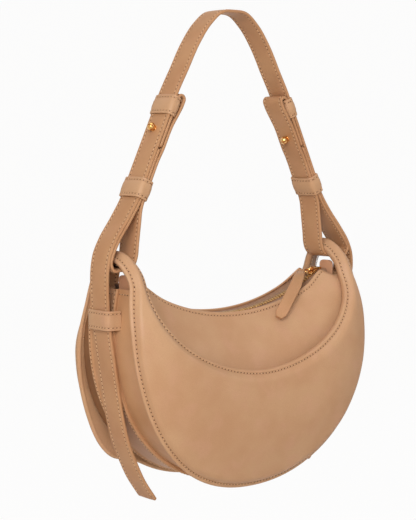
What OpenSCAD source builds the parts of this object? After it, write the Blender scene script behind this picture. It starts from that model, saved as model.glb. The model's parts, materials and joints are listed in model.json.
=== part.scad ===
// Half moon shoulder bag, hanging upright from the crown of its strap.
// Origin at the underside of the strap crown, X to the sides, Y from front to back, Z up.
// Heights inside the modules are taken from the lowest point of the rims, and hung() lowers them.

/* [Body] */
// Width across the rims of the two crescents
bag_w = 259; // [240:1:290]
// Height from the lowest rim point to the top of the arches
bag_h = 204; // [194:1:224]
// Half of the distance between the two rims at their widest
half_depth = 43; // [41:0.5:46]
// How much narrower each side is at the arches
horn_taper = 4.5; // [3:0.5:7]
// Width of the horns and of the arches over them
horn_w = 18; // [16:0.5:20]
// Inset of the gusset from the rims, the overhang of the rims
rim_overhang = 6.5; // [5.5:0.5:8]
// How far the face of a crescent swells
face_swell = 10; // [6:1:13]

/* [Leather] */
// Thickness of one crescent leather
leather_t = 2; // [1.6:0.2:2.6]
// Thickness of the foam padding
pad_t = 3; // [2:0.5:4]
// Thickness of the gusset and panel leather
gusset_t = 1.8; // [1.4:0.2:2.2]
// Thickness of the lining
lining_t = 0.8; // [0.6:0.1:1.2]

/* [Pouch] */
// Half opening between the top edges in the middle
pouch_half_gap = 14; // [13:0.5:16]
// How far a pouch panel bellies out
panel_belly = 21.5; // [16:0.5:22.5]
// How much the pouch's top edge rises from its middle to its ends
pouch_rise = 27.5; // [24:0.5:29]

/* [Zip] */
// Depth of the zip below the top edge
zip_drop = 3; // [2.5:0.5:5]
// Thickness of a zip tape
tape_t = 1; // [0.8:0.1:1.2]
// Distance from tooth to tooth
tooth_pitch = 3; // [2.6:0.2:4]

/* [Strap] */
// Height of the crown's underside above the feet of the strap's arms
strap_rise = 155.4; // [140:0.2:190]
// Width of the straps
strap_w = 24; // [22:0.5:26]
// Thickness of the straps
strap_t = 2.4; // [2:0.2:2.6]
// Slant of the strap's arms
arm_deg = 25.3; // [23:0.1:27]
// How much further out the right side of the strap hangs
right_flare = 10; // [0:1:12]
// Length of the keepers along the strap
keeper_len = 17; // [14:1:18]
// Wall of the keepers
keeper_t = 1.4; // [1.2:0.1:1.6]
// Radius of a stud's ball
stud_r = 3.5; // [3:0.1:3.8]

/* [Hidden] */

tan_leather = "#C8A07A";
shade_leather = "#A87C58";
foam = "#E8E0CC";
cloth = "#B89A78";
gold = "#D8B25C";

// Overrun of a cut past the faces that it goes through
cut = 1;
// Gap between pieces that move past each other
slip = 0.3;
// Gap between pieces that are sewn or glued together
seam = 0.15;
// Smoothness of round pieces
fine = 48;

// Superellipse powers of the rim and of the inner edge
rim_power_share = 2.15;
lip_power_share = 1.85;
// Heights as shares of bag_h: widest place of the rims, lowest place and centre of the inner
// edge's curve, where the crescents end and the arches begin, and the arches' centre
widest_h_share = 0.686;
lip_low_share = 0.505;
lip_centre_share = 0.833;
horn_share = 0.8725;
rim_widest_h = widest_h_share * bag_h;
lip_low_h = lip_low_share * bag_h;
lip_centre_h = lip_centre_share * bag_h;
horn_h = horn_share * bag_h;
arch_centre_h = lip_centre_h;
// Reach of the arches to the front and back, as a share of half_depth
arch_reach_share = 0.71;
arch_ry = arch_reach_share * half_depth;
arch_rz = bag_h - arch_centre_h;
lip_half_w = bag_w / 2 - horn_taper - horn_w;
shell_t = 2 * leather_t + pad_t;

// Half distance of the rims from the middle plane, as [share of bag_h, share of half_depth]
rim_depth_shares = [[0, 0.84], [0.07, 0.9], [0.18, 0.98], [0.29, 1], [0.44, 0.98], [0.56, 0.92],
    [0.69, 0.84], [0.8, 0.735], [0.8725, 0.688]];
// Half distance of the inner edges from the middle plane, in the same shares
lip_depth_shares = [[0.5, 1.24], [0.59, 1.2], [0.68, 1.1], [0.775, 0.94], [0.83, 0.81], [0.8725, 0.688]];

function rim_y(z) = half_depth * lookup(z / bag_h, rim_depth_shares);
function lip_y(z) = half_depth * lookup(z / bag_h, lip_depth_shares);
function mix(a, b, v) = a + (b - a) * v;
function steps(n) = [for (i = [0:n]) i / n];
function sweep_of(n, reach = 1) = [for (i = [-n:n]) reach * i / n];

// Share of the rim's run from the middle of the bottom at which it is widest
widest_share = 0.84;
// Points of the rim and of the inner edge, s runs from -1 at the left horn to 1 at the right horn
function rim_low(q) = [bag_w / 2 * pow(sin(90 * q), 2 / rim_power_share),
    rim_widest_h * (1 - pow(cos(90 * q), 2 / rim_power_share))];
function rim_high(q) = [bag_w / 2 - horn_taper * q * q, mix(rim_widest_h, horn_h, q)];
function rim_half(q) = q < widest_share ? rim_low(q / widest_share)
    : rim_high((q - widest_share) / (1 - widest_share));
function lip_angle(q) = 90 * pow(min(1, q / lip_full_share), 1.1);
lip_full_share = 0.96;
function lip_half(q) = [lip_half_w * pow(sin(lip_angle(q)), 2 / lip_power_share),
    q < lip_full_share ? lip_centre_h - (lip_centre_h - lip_low_h) * pow(cos(lip_angle(q)), 2 / lip_power_share)
    : mix(lip_centre_h, horn_h, (q - lip_full_share) / (1 - lip_full_share))];
function side(s) = s < 0 ? -1 : 1;
function rim_at(s) = [side(s) * rim_half(abs(s)).x, rim_half(abs(s)).y];
function lip_at(s) = [side(s) * lip_half(abs(s)).x, lip_half(abs(s)).y];

// Point of a crescent's outer face, v runs from 0 at the rim to 1 at the inner edge
function face_xz(s, v) = mix(rim_at(s), lip_at(s), v);
function face_y(s, v) = mix(rim_y(rim_at(s).y), lip_y(lip_at(s).y), v)
    + 4 * face_swell * mix(1, 0.12, s * s) * v * (1 - v);
// Depth of the backing's front face under the outer face: thin at the rim, full past it
rim_ramp_share = 0.12;
function backing_depth(v) = leather_t + pad_t * min(1, v / rim_ramp_share);
function band_share(s, d) = d / norm(rim_at(s) - lip_at(s));

// A sheet between two grids of points of the same size
module sheet(outer, inner) {
    rows = len(outer);
    cols = len(outer[0]);
    half = rows * cols;
    points = [for (row = outer) each row, for (row = inner) each row];
    faces = [
        for (i = [0:rows - 2], j = [0:cols - 2], k = [0, 1])
            let (a = i * cols + j, b = a + cols, f = k == 0 ? [a, b + 1, b] : [a, a + 1, b + 1]) f,
        for (i = [0:rows - 2], j = [0:cols - 2], k = [0, 1])
            let (a = half + i * cols + j, b = a + cols, f = k == 0 ? [a, b, b + 1] : [a, b + 1, a + 1]) f,
        for (i = [0:rows - 2], k = [0, 1])
            let (a = i * cols, b = a + cols, c = a + half, d = b + half) k == 0 ? [a, b, d] : [a, d, c],
        for (i = [0:rows - 2], k = [0, 1])
            let (a = i * cols + cols - 1, b = a + cols, c = a + half, d = b + half)
                k == 0 ? [b, a, c] : [b, c, d],
        for (j = [0:cols - 2], k = [0, 1])
            let (a = j, b = a + 1, c = a + half, d = b + half) k == 0 ? [b, a, c] : [b, c, d],
        for (j = [0:cols - 2], k = [0, 1])
            let (a = (rows - 1) * cols + j, b = a + 1, c = a + half, d = b + half)
                k == 0 ? [a, b, d] : [a, d, c]
    ];
    polyhedron(points, faces);
}

// Rows across a crescent and steps along each half of it
face_rows = [0, 0.12, 0.26, 0.42, 0.6, 0.8, 1];
face_steps = 18;
panel_steps = 14;

function face_grid(depths, first, last) = [for (s = sweep_of(face_steps))
    [for (j = [first:last]) let (v = face_rows[j], p = face_xz(s, v)) [p.x, depths[j] - face_y(s, v), p.y]]];
lip_row = len(face_rows) - 1;
outer_depths = [for (v = face_rows) 0];
inner_depths = [for (v = face_rows) v == 1 ? leather_t + pad_t : leather_t];
backing_depths = [for (v = face_rows) backing_depth(v)];
rear_depths = [for (v = face_rows) backing_depth(v) + leather_t];

module hung() translate([0, 0, -hang_h]) children();

module crescent_leather() color(tan_leather)
    sheet(face_grid(outer_depths, 0, lip_row), face_grid(inner_depths, 0, lip_row));
module crescent_padding() color(foam)
    sheet(face_grid(inner_depths, 1, lip_row - 1), face_grid(backing_depths, 1, lip_row - 1));
module crescent_backing() color(shade_leather)
    sheet(face_grid(backing_depths, 0, lip_row), face_grid(rear_depths, 0, lip_row));

// Inverted U over which the crescents' horns join
arch_steps = 16;
function arch_curve(ry, rz) = let (a0 = asin((horn_h - arch_centre_h) / rz))
    [for (i = [0:arch_steps]) let (a = mix(a0, 180 - a0, i / arch_steps))
        [ry * cos(a), arch_centre_h + rz * sin(a)]];
module arch() color(tan_leather) translate([lip_half_w, 0, 0]) rotate([90, 0, 90])
    linear_extrude(horn_w) polygon(concat(arch_curve(arch_ry, arch_rz),
        [for (i = [arch_steps:-1:0]) arch_curve(arch_ry - shell_t, arch_rz - shell_t)[i]]));

// Bands of the gusset: each is a strip between two depths, inset from the rims
// Share of the rim's run that the gusset covers, up to its hemmed top edge
gusset_share = 0.985;
gusset_run = [for (s = sweep_of(face_steps)) side(s) * min(abs(s), gusset_share)];
// Front and back edges of the middle band, and how far the bands lap over each other
middle_front = -9;
middle_back = 25;
lap = 3;
// Height and width of the turned edges of the middle band
turned_h = 1;
turned_w = 3;
function rear_y(s, d) = let (v = band_share(s, d)) face_y(s, v) - backing_depth(v) - leather_t;
function ring_point(s, d, y) = let (p = face_xz(s, band_share(s, d))) [p.x, y, p.y];
function front_y(s, d) = -rear_y(s, d) + seam;
module band(depth_in, t, y0, y1) let (run = gusset_run) sheet(
    [for (s = run) [ring_point(s, depth_in, y1), ring_point(s, depth_in, y0 == undef ? front_y(s, depth_in) : y0)]],
    [for (s = run) [ring_point(s, depth_in + t, y1),
        ring_point(s, depth_in + t, y0 == undef ? front_y(s, depth_in + t) : y0)]]);
module front_gusset_band() color(tan_leather) band(rim_overhang, gusset_t, undef, middle_front + lap);
module back_gusset_band() color(tan_leather) mirror([0, 1, 0])
    band(rim_overhang, gusset_t, undef, -(middle_back - lap));
// Across the middle band: depth from the middle plane and height over the bands
middle_profile = [[middle_back, turned_h], [middle_back - turned_w, turned_h],
    [middle_back - turned_w - turned_h, 0], [middle_front + turned_w + turned_h, 0],
    [middle_front + turned_w, turned_h], [middle_front, turned_h]];
middle_inset = rim_overhang - gusset_t - seam;
module middle_gusset_band() let (run = gusset_run) color(tan_leather) sheet(
    [for (s = run) [for (p = middle_profile) ring_point(s, middle_inset - p.y, p.x)]],
    [for (s = run) [for (p = middle_profile) ring_point(s, middle_inset + gusset_t, p.x)]]);

// Pouch panels: w runs from 0 at the gusset to 1 at the top edge
pouch_low_share = 0.7255;
pouch_low_h = pouch_low_share * bag_h;
// Distance from the outside of the horns to the end of the pouch's top edge
pouch_end_inset = 13;
pouch_half_w = bag_w / 2 - horn_taper - pouch_end_inset;
// Where the shoulders of the top edge flatten and round down, as a share of its half width
shoulder_share = 0.91;
shoulder_drop = 5;
shoulder_x = shoulder_share * pouch_half_w;
pouch_arc_r = (shoulder_x * shoulder_x + pouch_rise * pouch_rise) / (2 * pouch_rise);
pouch_arc_h = pouch_low_h + pouch_arc_r;
// Half opening at the ends of the top edge
pouch_end_gap = pouch_half_gap + 3;
function arc_h(x, r) = pouch_arc_h - sqrt(r * r - x * x);
function top_xz(s) = let (q = abs(s), x = pouch_half_w * q,
    over = max(0, (q - shoulder_share) / (1 - shoulder_share)))
    [side(s) * x, arc_h(min(x, shoulder_x), pouch_arc_r) - shoulder_drop * over * over];
// Gap between a panel's sewn edge and the crescent in front of it
tuck_gap = 0.6;
function top_y(s) = mix(pouch_half_gap, pouch_end_gap, s * s);
panel_rows = [0, 0.1, 0.25, 0.42, 0.6, 0.76, 0.9, 1];
panel_inset = rim_overhang + gusset_t + seam;
function panel_point(s, w, depth) = let (b = face_xz(s, band_share(s, panel_inset)), t = top_xz(s),
    p = mix(b, t, w), y = mix(rear_y(s, panel_inset) - tuck_gap, top_y(s), w)
        + panel_belly * (1 - s * s) * sin(180 * w))
    [p.x, depth - y, p.y];
// Panel steps left out at each end of a grid's run, and its first and last rows
function panel_grid(depth, skip, first, last) = [for (i = [skip - panel_steps:panel_steps - skip])
    [for (j = [first:last]) panel_point(panel_share * i / panel_steps, panel_rows[j], depth)]];
top_row = len(panel_rows) - 1;
panel_share = 0.985;
module pouch_panel() color(tan_leather) sheet(panel_grid(0, 0, 0, top_row), panel_grid(gusset_t, 0, 0, top_row));
lining_skip = 2;
module panel_lining() color(cloth) sheet(panel_grid(gusset_t + seam, lining_skip, 1, top_row - 1),
    panel_grid(gusset_t + seam + lining_t, lining_skip, 1, top_row - 1));
lining_half_w = 22;
module gusset_lining() color(cloth) let (run = trimmed(gusset_run, lining_skip),
    d = rim_overhang + gusset_t + lining_t) sheet(
    [for (s = run) [ring_point(s, d, lining_half_w), ring_point(s, d, -lining_half_w)]],
    [for (s = run) [ring_point(s, d + lining_t, lining_half_w), ring_point(s, d + lining_t, -lining_half_w)]]);
// Stiffener on the floor of the pouch, between the lining and the stuff above it
stiffener_skip = 12;
function trimmed(p, skip) = [for (i = [skip:len(p) - 1 - skip]) p[i]];
stiffener_t = 1.6;
module base_stiffener() color(shade_leather) let (run = trimmed(gusset_run, stiffener_skip),
    d = rim_overhang + gusset_t + 2 * lining_t + seam) sheet(
    [for (s = run) [ring_point(s, d, lining_half_w), ring_point(s, d, -lining_half_w)]],
    [for (s = run) [ring_point(s, d + stiffener_t, lining_half_w), ring_point(s, d + stiffener_t, -lining_half_w)]]);
pocket_skip = 8;
pocket_t = 1;
module slip_pocket() color(cloth) sheet(
    panel_grid(gusset_t + lining_t + 2 * seam, pocket_skip, 2, top_row - 2),
    panel_grid(gusset_t + lining_t + 2 * seam + pocket_t, pocket_skip, 2, top_row - 2));

// Zip: tapes and teeth lie on an arc round an axis along Y
zip_r = pouch_arc_r + zip_drop;
zip_end_deg = asin(pouch_half_w / zip_r);
// Closed place of the slider, this far from the end of the zip
slider_end_gap = 9.5;
slider_deg = zip_end_deg - slider_end_gap / zip_r * 180 / PI;
module on_arc(deg) translate([0, 0, pouch_arc_h]) rotate([0, -deg, 0]) translate([0, 0, -zip_r]) children();
// Half gap between the two rows of teeth, in which the slider's post runs
teeth_gap = 0.6;
tooth_w = 2.6;
tooth_len = 1.7;
tooth_h = 1.8;
// Outer edge of a tape: on the inside of the panel, and drawn in to the end tabs past the shoulders
tape_end_w = 8.6;
function arc_out(x) = [x, -sqrt(pouch_arc_r * pouch_arc_r - x * x)] / pouch_arc_r;
function tape_edge(s) = let (b = face_xz(s, band_share(s, panel_inset)), t = top_xz(s))
    panel_point(s, 1 - zip_drop / ((b - t) * arc_out(t.x)), gusset_t + seam);
tape_steps = 16;
shoulder_edge = tape_edge(shoulder_share);
function tape_half(q) = q <= shoulder_share ? tape_edge(q)
    : let (k = (q - shoulder_share) / (1 - shoulder_share), x = mix(shoulder_edge.x, pouch_half_w, k))
        [x, mix(shoulder_edge.y, -tape_end_w, k), arc_h(x, zip_r)];
function tape_row(s, drop) = let (p = tape_half(abs(s)), x = side(s) * p.x)
    [[x, p.y, p.z - drop], [x, -teeth_gap - tooth_w - seam / 2, p.z - drop]];
tape_shares = [for (i = [-tape_steps:tape_steps]) sin(90 * i / tape_steps)];
module zip_tape() color(cloth) sheet([for (s = tape_shares) tape_row(s, 0)],
    [for (s = tape_shares) tape_row(s, tape_t)]);
tooth_deg = tooth_pitch / zip_r * 180 / PI;
tooth_count = floor((zip_end_deg - 1) / tooth_deg);
module zip_teeth() color(gold) for (i = [-tooth_count:tooth_count]) on_arc(i * tooth_deg)
    translate([-tooth_len / 2, -teeth_gap - tooth_w, -tooth_h / 2]) cube([tooth_len, tooth_w, tooth_h]);
stop_len = 2;
stop_w = 9;
stop_deg = tooth_count * tooth_deg + (tooth_len / 2 + stop_len / 2 + slip) / zip_r * 180 / PI;
module zip_stops() color(gold) for (e = [-1, 1]) on_arc(e * stop_deg)
    translate([-stop_len / 2, -stop_w / 2, seam]) cube([stop_len, stop_w, tape_t]);

// Slider: upper wing, lower wing and the post between them, with a bridge for the ring
slider_len = 9;
slider_w = 8.4;
wing_t = 1.3;
bridge_h = 3.4;
bridge_t = 1.1;
ring_pin_r = 0.75;
wing_z = tooth_h / 2 + slip + 0.05 * tooth_h;
lower_z = tape_t + tooth_h / 2 + slip;
module wing(z) translate([-slider_len / 2, -slider_w / 2, z]) difference() {
    cube([slider_len, slider_w, wing_t]);
    for (e = [-1, 1]) translate([slider_len, e > 0 ? slider_w : 0, -cut])
        rotate([0, 0, 45]) translate([-corner_cut, -corner_cut, 0]) cube([2 * corner_cut, 2 * corner_cut, wing_t + 2 * cut]);
}
corner_cut = 1.6;
bridge_len = 6;
bridge_w = 1.6;
module zip_slider() color(gold) on_arc(slider_deg) {
    wing(wing_z);
    wing(-lower_z - wing_t);
    translate([-post_len / 2, -teeth_gap + slip, -lower_z - wing_t / 2])
        cube([post_len, 2 * (teeth_gap - slip), wing_z + lower_z + wing_t]);
    translate([-bridge_len / 2, bridge_w / 2, wing_z + wing_t - bridge_t / 2]) rotate([90, 0, 0])
        linear_extrude(bridge_w) difference() {
            square([bridge_len, bridge_h + bridge_t / 2]);
            translate([bridge_t, -cut]) square([bridge_len - 2 * bridge_t, bridge_h - bridge_t + bridge_t / 2 + cut]);
        }
}
post_len = 3;

// Ring through the bridge: a round wire frame that lies back along the zip
ring_len = 11;
ring_w = 8;
ring_x = 0;
ring_z = wing_z + wing_t + bridge_h - bridge_t - ring_pin_r - slip;
ring_tilt = 22;
module ring_rod(a, b) let (v = b - a) translate(a) rotate([0, acos(v.z / norm(v)), atan2(v.y, v.x)])
    cylinder(h = norm(v), r = ring_pin_r, $fn = fine);
module pull_ring() color(gold) on_arc(slider_deg) translate([ring_x, 0, ring_z]) rotate([0, ring_tilt, 0]) {
    w = ring_w / 2;
    ring_rod([0, -w, 0], [0, w, 0]);
    ring_rod([-ring_len, -w, 0], [-ring_len, w, 0]);
    for (y = [-w, w]) {
        ring_rod([-ring_len, y, 0], [0, y, 0]);
        for (x = [-ring_len, 0]) translate([x, y, 0]) sphere(r = ring_pin_r, $fn = fine);
    }
}

// Leather pull: an eye round the ring's far bar and a tongue that bends over the front edge.
// Stations from the far bar: way to the left, to the front and down, then half width in X, -Y and -Z
pull_stations = [[1.3, 0, 0, 0, 5, 0], [12, 8.6, 2.2, 1.6, 4.7, 0.8], [25, 17.2, 9.6, 2.8, 4.2, 1.6],
    [39.5, 23.2, 21, 3.2, 3.5, 2.2], [50, 26, 31, 3.3, 3.2, 2.4], [53.5, 26.8, 34.4, 1.7, 1.6, 1.3]];
pull_t = 2.2;
eye_r = 1;
far_deg = ring_tilt - slider_deg;
function spin(v, deg) = [v.x * cos(deg) + v.y * sin(deg), v.y * cos(deg) - v.x * sin(deg)];
far_bar = [0, pouch_arc_h] + spin([ring_x, ring_z - zip_r], -slider_deg) + spin([-ring_len, 0], far_deg);
function unit(v) = v / norm(v);
function pull_mid(i) = let (p = pull_stations[i]) [far_bar.x - p[0], -p[1], far_bar.y - p[2]];
function pull_side(i) = let (p = pull_stations[i]) [p[3], -p[4], -p[5]];
last_station = len(pull_stations) - 1;
function pull_up(i) = unit(cross(unit(pull_mid(min(i + 1, last_station)) - pull_mid(max(i - 1, 0))), pull_side(i)));
function pull_row(i, h) = [for (e = [-1, 1]) pull_mid(i) + h * pull_up(i) + e * pull_side(i)];
module leather_pull() color(tan_leather) {
    sheet([for (i = [0:last_station]) pull_row(i, pull_t / 2)], [for (i = [0:last_station]) pull_row(i, -pull_t / 2)]);
    translate([far_bar.x, ring_w / 2 - ring_pin_r - slip, far_bar.y]) rotate([90, 0, 0])
        linear_extrude(ring_w - 2 * (ring_pin_r + slip)) difference() {
            circle(r = eye_r + pull_t / 2, $fn = fine);
            circle(r = eye_r, $fn = fine);
        }
}

// Upright tab at each end of the zip
tab_w = 18;
// How far forward of the zip's middle the tabs sit
tab_lead = 4;
tab_t = 2.2;
tab_top_share = 0.888;
tab_low_share = 0.804;
tab_top_h = tab_top_share * bag_h;
tab_low_h = tab_low_share * bag_h;
tab_share = widest_share + (1 - widest_share) * (tab_low_h - rim_widest_h) / (horn_h - rim_widest_h);
module zip_end_tab() color(tan_leather)
    let (x0 = pouch_half_w + seam, x1 = ring_point(tab_share, rim_overhang + gusset_t, 0).x - seam)
    translate([0, tab_w / 2 - tab_lead, 0]) rotate([90, 0, 0]) linear_extrude(tab_w)
    polygon([[x0, tab_low_h], [x1, tab_low_h], [x1, tab_low_h + tab_t], [x0 + tab_t, tab_low_h + tab_t],
        [x0 + tab_t, tab_top_h], [x0, tab_top_h]]);

// Strap arms: a straight run on each side from arm_top to arm_foot
arm_down = [sin(arm_deg), -cos(arm_deg)];
arm_in = [-cos(arm_deg), -sin(arm_deg)];
foot_w_share = 0.7977;
foot_h_share = 1.199;
arm_foot = [foot_w_share * bag_w / 2, foot_h_share * bag_h];
// Height of the crown over the tops of the arms, as a share of strap_rise
crown_share = 0.4414;
hang_h = arm_foot.y + strap_rise;
arm_len = (1 - crown_share) * strap_rise / cos(arm_deg);
arm_top = arm_foot - arm_len * arm_down;
function arm_at(a, n) = arm_top + a * arm_down + n * arm_in;
// Height of the axis about which the bag swings, in the bend of the loop straps
swing_share = 0.9167;
swing_h = swing_share * bag_h;

// Smooth curve through points, n steps from each to the next, and a band of even thickness along it
function slope_at(p, i) = let (m = len(p) - 1) i == 0 ? (p[1] - p[0]) / norm(p[1] - p[0])
    : i == m ? (p[m] - p[m - 1]) / norm(p[m] - p[m - 1])
    : let (a = norm(p[i] - p[i - 1]), b = norm(p[i + 1] - p[i]))
        (b * (p[i] - p[i - 1]) / a + a * (p[i + 1] - p[i]) / b) / (a + b);
function hermite(a, b, va, vb, t) = (2 * t * t * t - 3 * t * t + 1) * a + (t * t * t - 2 * t * t + t) * va
    + (3 * t * t - 2 * t * t * t) * b + (t * t * t - t * t) * vb;
function smooth(p, n) = concat([for (i = [0:len(p) - 2]) let (h = norm(p[i + 1] - p[i]), m = ceil(min(n, h / 2)))
    for (k = [0:m - 1]) hermite(p[i], p[i + 1], h * slope_at(p, i), h * slope_at(p, i + 1), k / m)],
    [p[len(p) - 1]]);
function turn(v) = [-v.y, v.x] / norm(v);
function normal_at(p, i) = turn(p[min(i + 1, len(p) - 1)] - p[max(i - 1, 0)]);
function shifted(p, d) = [for (i = [0:len(p) - 1]) p[i] + d * normal_at(p, i)];
function reversed(p) = [for (i = [len(p) - 1:-1:0]) p[i]];
module strip(p, t) polygon(concat(shifted(p, t / 2), reversed(shifted(p, -t / 2))));
module strap_solid(w) rotate([90, 0, 0]) translate([0, 0, -w / 2]) linear_extrude(w) children();

// Crown of the strap, as shares of arm_top.x and of its rise over arm_top
crown_shares = [[0.2, 0.985], [0.41, 0.847], [0.62, 0.607], [0.82, 0.29]];
crown_h = hang_h + strap_t / 2;
function crown_half(m) = [for (c = crown_shares)
    [m * c.x * arm_top.x, mix(arm_top.y, crown_h, c.y)]];
// Lower run of the strap, as [share of bag_w / 2, share of bag_h]
lower_shares = [[0.867, 1.132], [0.961, 1.048], [1.006, 0.99], [1.024, 0.93], [1.027, 0.87], [1.023, 0.785],
    [1.005, 0.672], [0.981, 0.574], [0.949, 0.453], [0.911, 0.325], [0.868, 0.228], [0.818, 0.155],
    [0.757, 0.078], [0.656, -0.015]];
flare_mid_h = 182;
flare_reach = 30;
function flare(z, m) = m < 0 ? 0 : right_flare * exp(-pow((z - flare_mid_h) / flare_reach, 2));
function lower_run(m) = concat([arm_at(arm_len - strap_w, 0), arm_foot], [for (c = lower_shares)
    let (z = c.y * bag_h) [c.x * bag_w / 2 + flare(z, m), z]]);
function lower_curve(m) = smooth(lower_run(m), 5);
function above(p, z) = [for (q = p) if (q.y > z) q];
function below(p, z) = [for (q = p) if (q.y < z) q];
function mirrored(p, m) = [for (q = p) [m * q.x, q.y]];

// Round end of the upper strap turns inside the hollow end of the tail
module swing_disc(r, h) translate([0, 0, swing_h]) rotate([0, 90, 0]) cylinder(h = h, r = r, center = true, $fn = 96);
module swing_side(r) intersection() {
    children();
    union() {
        translate([0, 0, swing_h + hang_h]) cube([4 * bag_w, 2 * strap_w, 2 * hang_h], center = true);
        swing_disc(r, 4 * bag_w);
    }
}
swing_gap = 0.7;
tuck = 20;
stud_hole_r = 1.6;
module stud_place(m, a, n) translate([m * arm_at(a, n).x, 0, arm_at(a, n).y]) rotate([0, m * (90 - arm_deg), 0])
    children();
module stud_hole(m, a) stud_place(m, a, 0) cylinder(h = 3 * tuck, r = stud_hole_r, center = true, $fn = fine);
outer_stud_share = 0.333;
inner_stud_share = 0.39;
outer_stud_a = outer_stud_share * arm_len;
inner_stud_a = inner_stud_share * arm_len;
arm_low_cut = swing_h - tuck;
module shoulder_strap() color(tan_leather) {
    left = above(lower_curve(-1), arm_low_cut);
    right = above(lower_curve(1), arm_low_cut);
    top = concat(reversed(crown_half(-1)), [[0, crown_h]], crown_half(1));
    low = arm_at(foot_run, 0);
    crown = smooth(concat([[-low.x, low.y], [-arm_top.x, arm_top.y]], top, [arm_top, low]), 5);
    difference() {
        swing_side(strap_w / 2) strap_solid(strap_w) strip(concat(reversed(mirrored(left, -1)), crown, right), strap_t);
        for (m = [-1, 1]) stud_hole(m, outer_stud_a);
    }
}
module strap_tail(m) color(tan_leather) difference() {
    strap_solid(strap_w) strip(mirrored(below(lower_curve(m), swing_h), m), strap_t);
    swing_disc(strap_w / 2 + swing_gap, 4 * bag_w);
    tail_point(m);
}
// The tail ends in a slanted cut
tail_slant = 8;
module tail_point(m) let (p = lower_run(m)[len(lower_run(m)) - 1])
    translate([m * p.x, strap_w / 2, p.y - strap_w * 0.12]) rotate([tail_slant, 0, 0])
    cube([strap_w, 4 * strap_w, strap_w * 0.25], center = true);

// Thickness of a stud's base disc, which lies between the folded end and the loop leg
base_t = 0.5;
// Layers of the strap from its middle inward: folded end, loop leg
fold_n = strap_t / 2 + 0.7 + strap_t / 2;
leg_mid_n = fold_n + strap_t + base_t + 3 * seam;
outer_leg_n = strap_t + seam;
leg_low_n = outer_leg_n + strap_t + 2 * slip;
fold_end_share = 0.49;
fold_end_a = fold_end_share * arm_len;
keeper_a = 2;
// The loop straps' bight bulges over the upper keepers
bight_r = 3.25;
bight_turns = [-55, 0, 55];
leg_bulge_n = fold_n + 2 * bight_r;
// Distance from the lower keepers to the feet of the arms
foot_run = 3;
low_keeper_a = arm_len - foot_run - keeper_len;
// Last turn of the loop strap's bend, before its outer leg
bend_run = 3.2;
bend_rise = 2.2;
leg_start = 8;
leg_gap = 3;
// Inner leg and bend under the arch, as [share of bag_w / 2, share of bag_h]
inner_leg_shares = [[0.766, 1.167], [0.777, 1.118], [0.788, 1.059], [0.797, 1.005], [0.8045, 0.961],
    [0.812, 0.937], [0.832, 0.92], [0.869, 0.9137], [0.919, 0.9137]];
function outer_leg(m) = shifted(reversed(above(lower_curve(m), swing_h + leg_start)), outer_leg_n);
// Places along the arm at which the loop strap's two upper legs run, as shares of arm_len
fold_shares = [0.31, 0.16];
leg_top_shares = [[0.05, 1], [0.1, 0.91], [0.15, 0.68], [0.2, 0.43], [0.26, 0.15], [0.33, 0], [0.41, 0]];
leg_low_shares = [[0.48, 0], [0.595, 1], [0.78, 1], [0.895, 1]];
function loop_path(m) = concat(
    [for (a = [fold_end_a, fold_shares[0] * arm_len, fold_shares[1] * arm_len, keeper_a + bight_r]) arm_at(a, fold_n)],
    [for (t = bight_turns) arm_at(keeper_a - bight_r * cos(t), fold_n + bight_r * (1 + sin(t)))],
    [for (k = leg_top_shares) arm_at(k.x * arm_len, mix(leg_mid_n, leg_bulge_n, k.y))],
    [for (k = leg_low_shares) arm_at(k.x * arm_len, mix(leg_mid_n, leg_low_n, k.y))],
    [arm_at(arm_len - foot_run, leg_low_n + seam)],
    [for (c = inner_leg_shares) [c.x * bag_w / 2, c.y * bag_h]],
    [let (p = outer_leg(m)[0]) [p.x - bend_run, swing_h + bend_rise]]);
module loop_strap(m) color(tan_leather) difference() {
    strap_solid(strap_w) strip(mirrored(concat(smooth(loop_path(m), 3), outer_leg(m),
        [arm_at(arm_len - strap_w - leg_gap, outer_leg_n), arm_at(fold_end_a + leg_gap, outer_leg_n)]), m), strap_t);
    stud_hole(m, outer_stud_a);
    stud_hole(m, inner_stud_a);
}

// A keeper is a closed leather band round the layers from n0 to n1
module keeper(m, a, n0, n1, clear) color(tan_leather)
    translate([m * arm_at(a, 0).x, 0, arm_at(a, 0).y]) rotate([0, m * (180 - arm_deg), 0]) {
    depth = n1 - n0 + 2 * clear;
    width = strap_w + 2 * clear;
    translate([m * (n0 + n1) / 2, 0, 0]) linear_extrude(keeper_len) difference() {
        square([depth + 2 * keeper_t, width + 2 * keeper_t], center = true);
        square([depth, width], center = true);
    }
}
module upper_keeper(m) keeper(m, keeper_a, -strap_t / 2, fold_n + strap_t / 2, seam);
module lower_keeper(m) keeper(m, low_keeper_a, -strap_t / 2, leg_low_n + strap_t / 2, slip);

// Belt loop on the gusset, round the tail
belt_h = 150;
belt_len = 16;
belt_t = 1.6;
function curve_x(m, z) = let (p = lower_curve(m)) max([for (i = [0:len(p) - 2])
    if ((p[i].y - z) * (p[i + 1].y - z) <= 0) mix(p[i].x, p[i + 1].x, (p[i].y - z) / (p[i].y - p[i + 1].y))]);
module belt_loop(m) color(tan_leather) {
    out_x = max(curve_x(m, belt_h - belt_len / 2), curve_x(m, belt_h + belt_len / 2)) + strap_t / 2 + 2 * slip;
    in_x = bag_w / 2 - middle_inset + turned_h + seam;
    y = strap_w / 2 + 2 * slip;
    scale([m, 1, 1]) translate([0, 0, belt_h - belt_len / 2]) linear_extrude(belt_len)
        polygon([[in_x, -y - foot], [in_x + belt_t, -y - foot], [in_x + belt_t, -y - belt_t], [out_x + belt_t, -y - belt_t],
            [out_x + belt_t, y + belt_t], [in_x + belt_t, y + belt_t], [in_x + belt_t, y + foot], [in_x, y + foot],
            [in_x, y], [out_x, y], [out_x, -y], [in_x, -y]]);
}
foot = 5;

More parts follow.
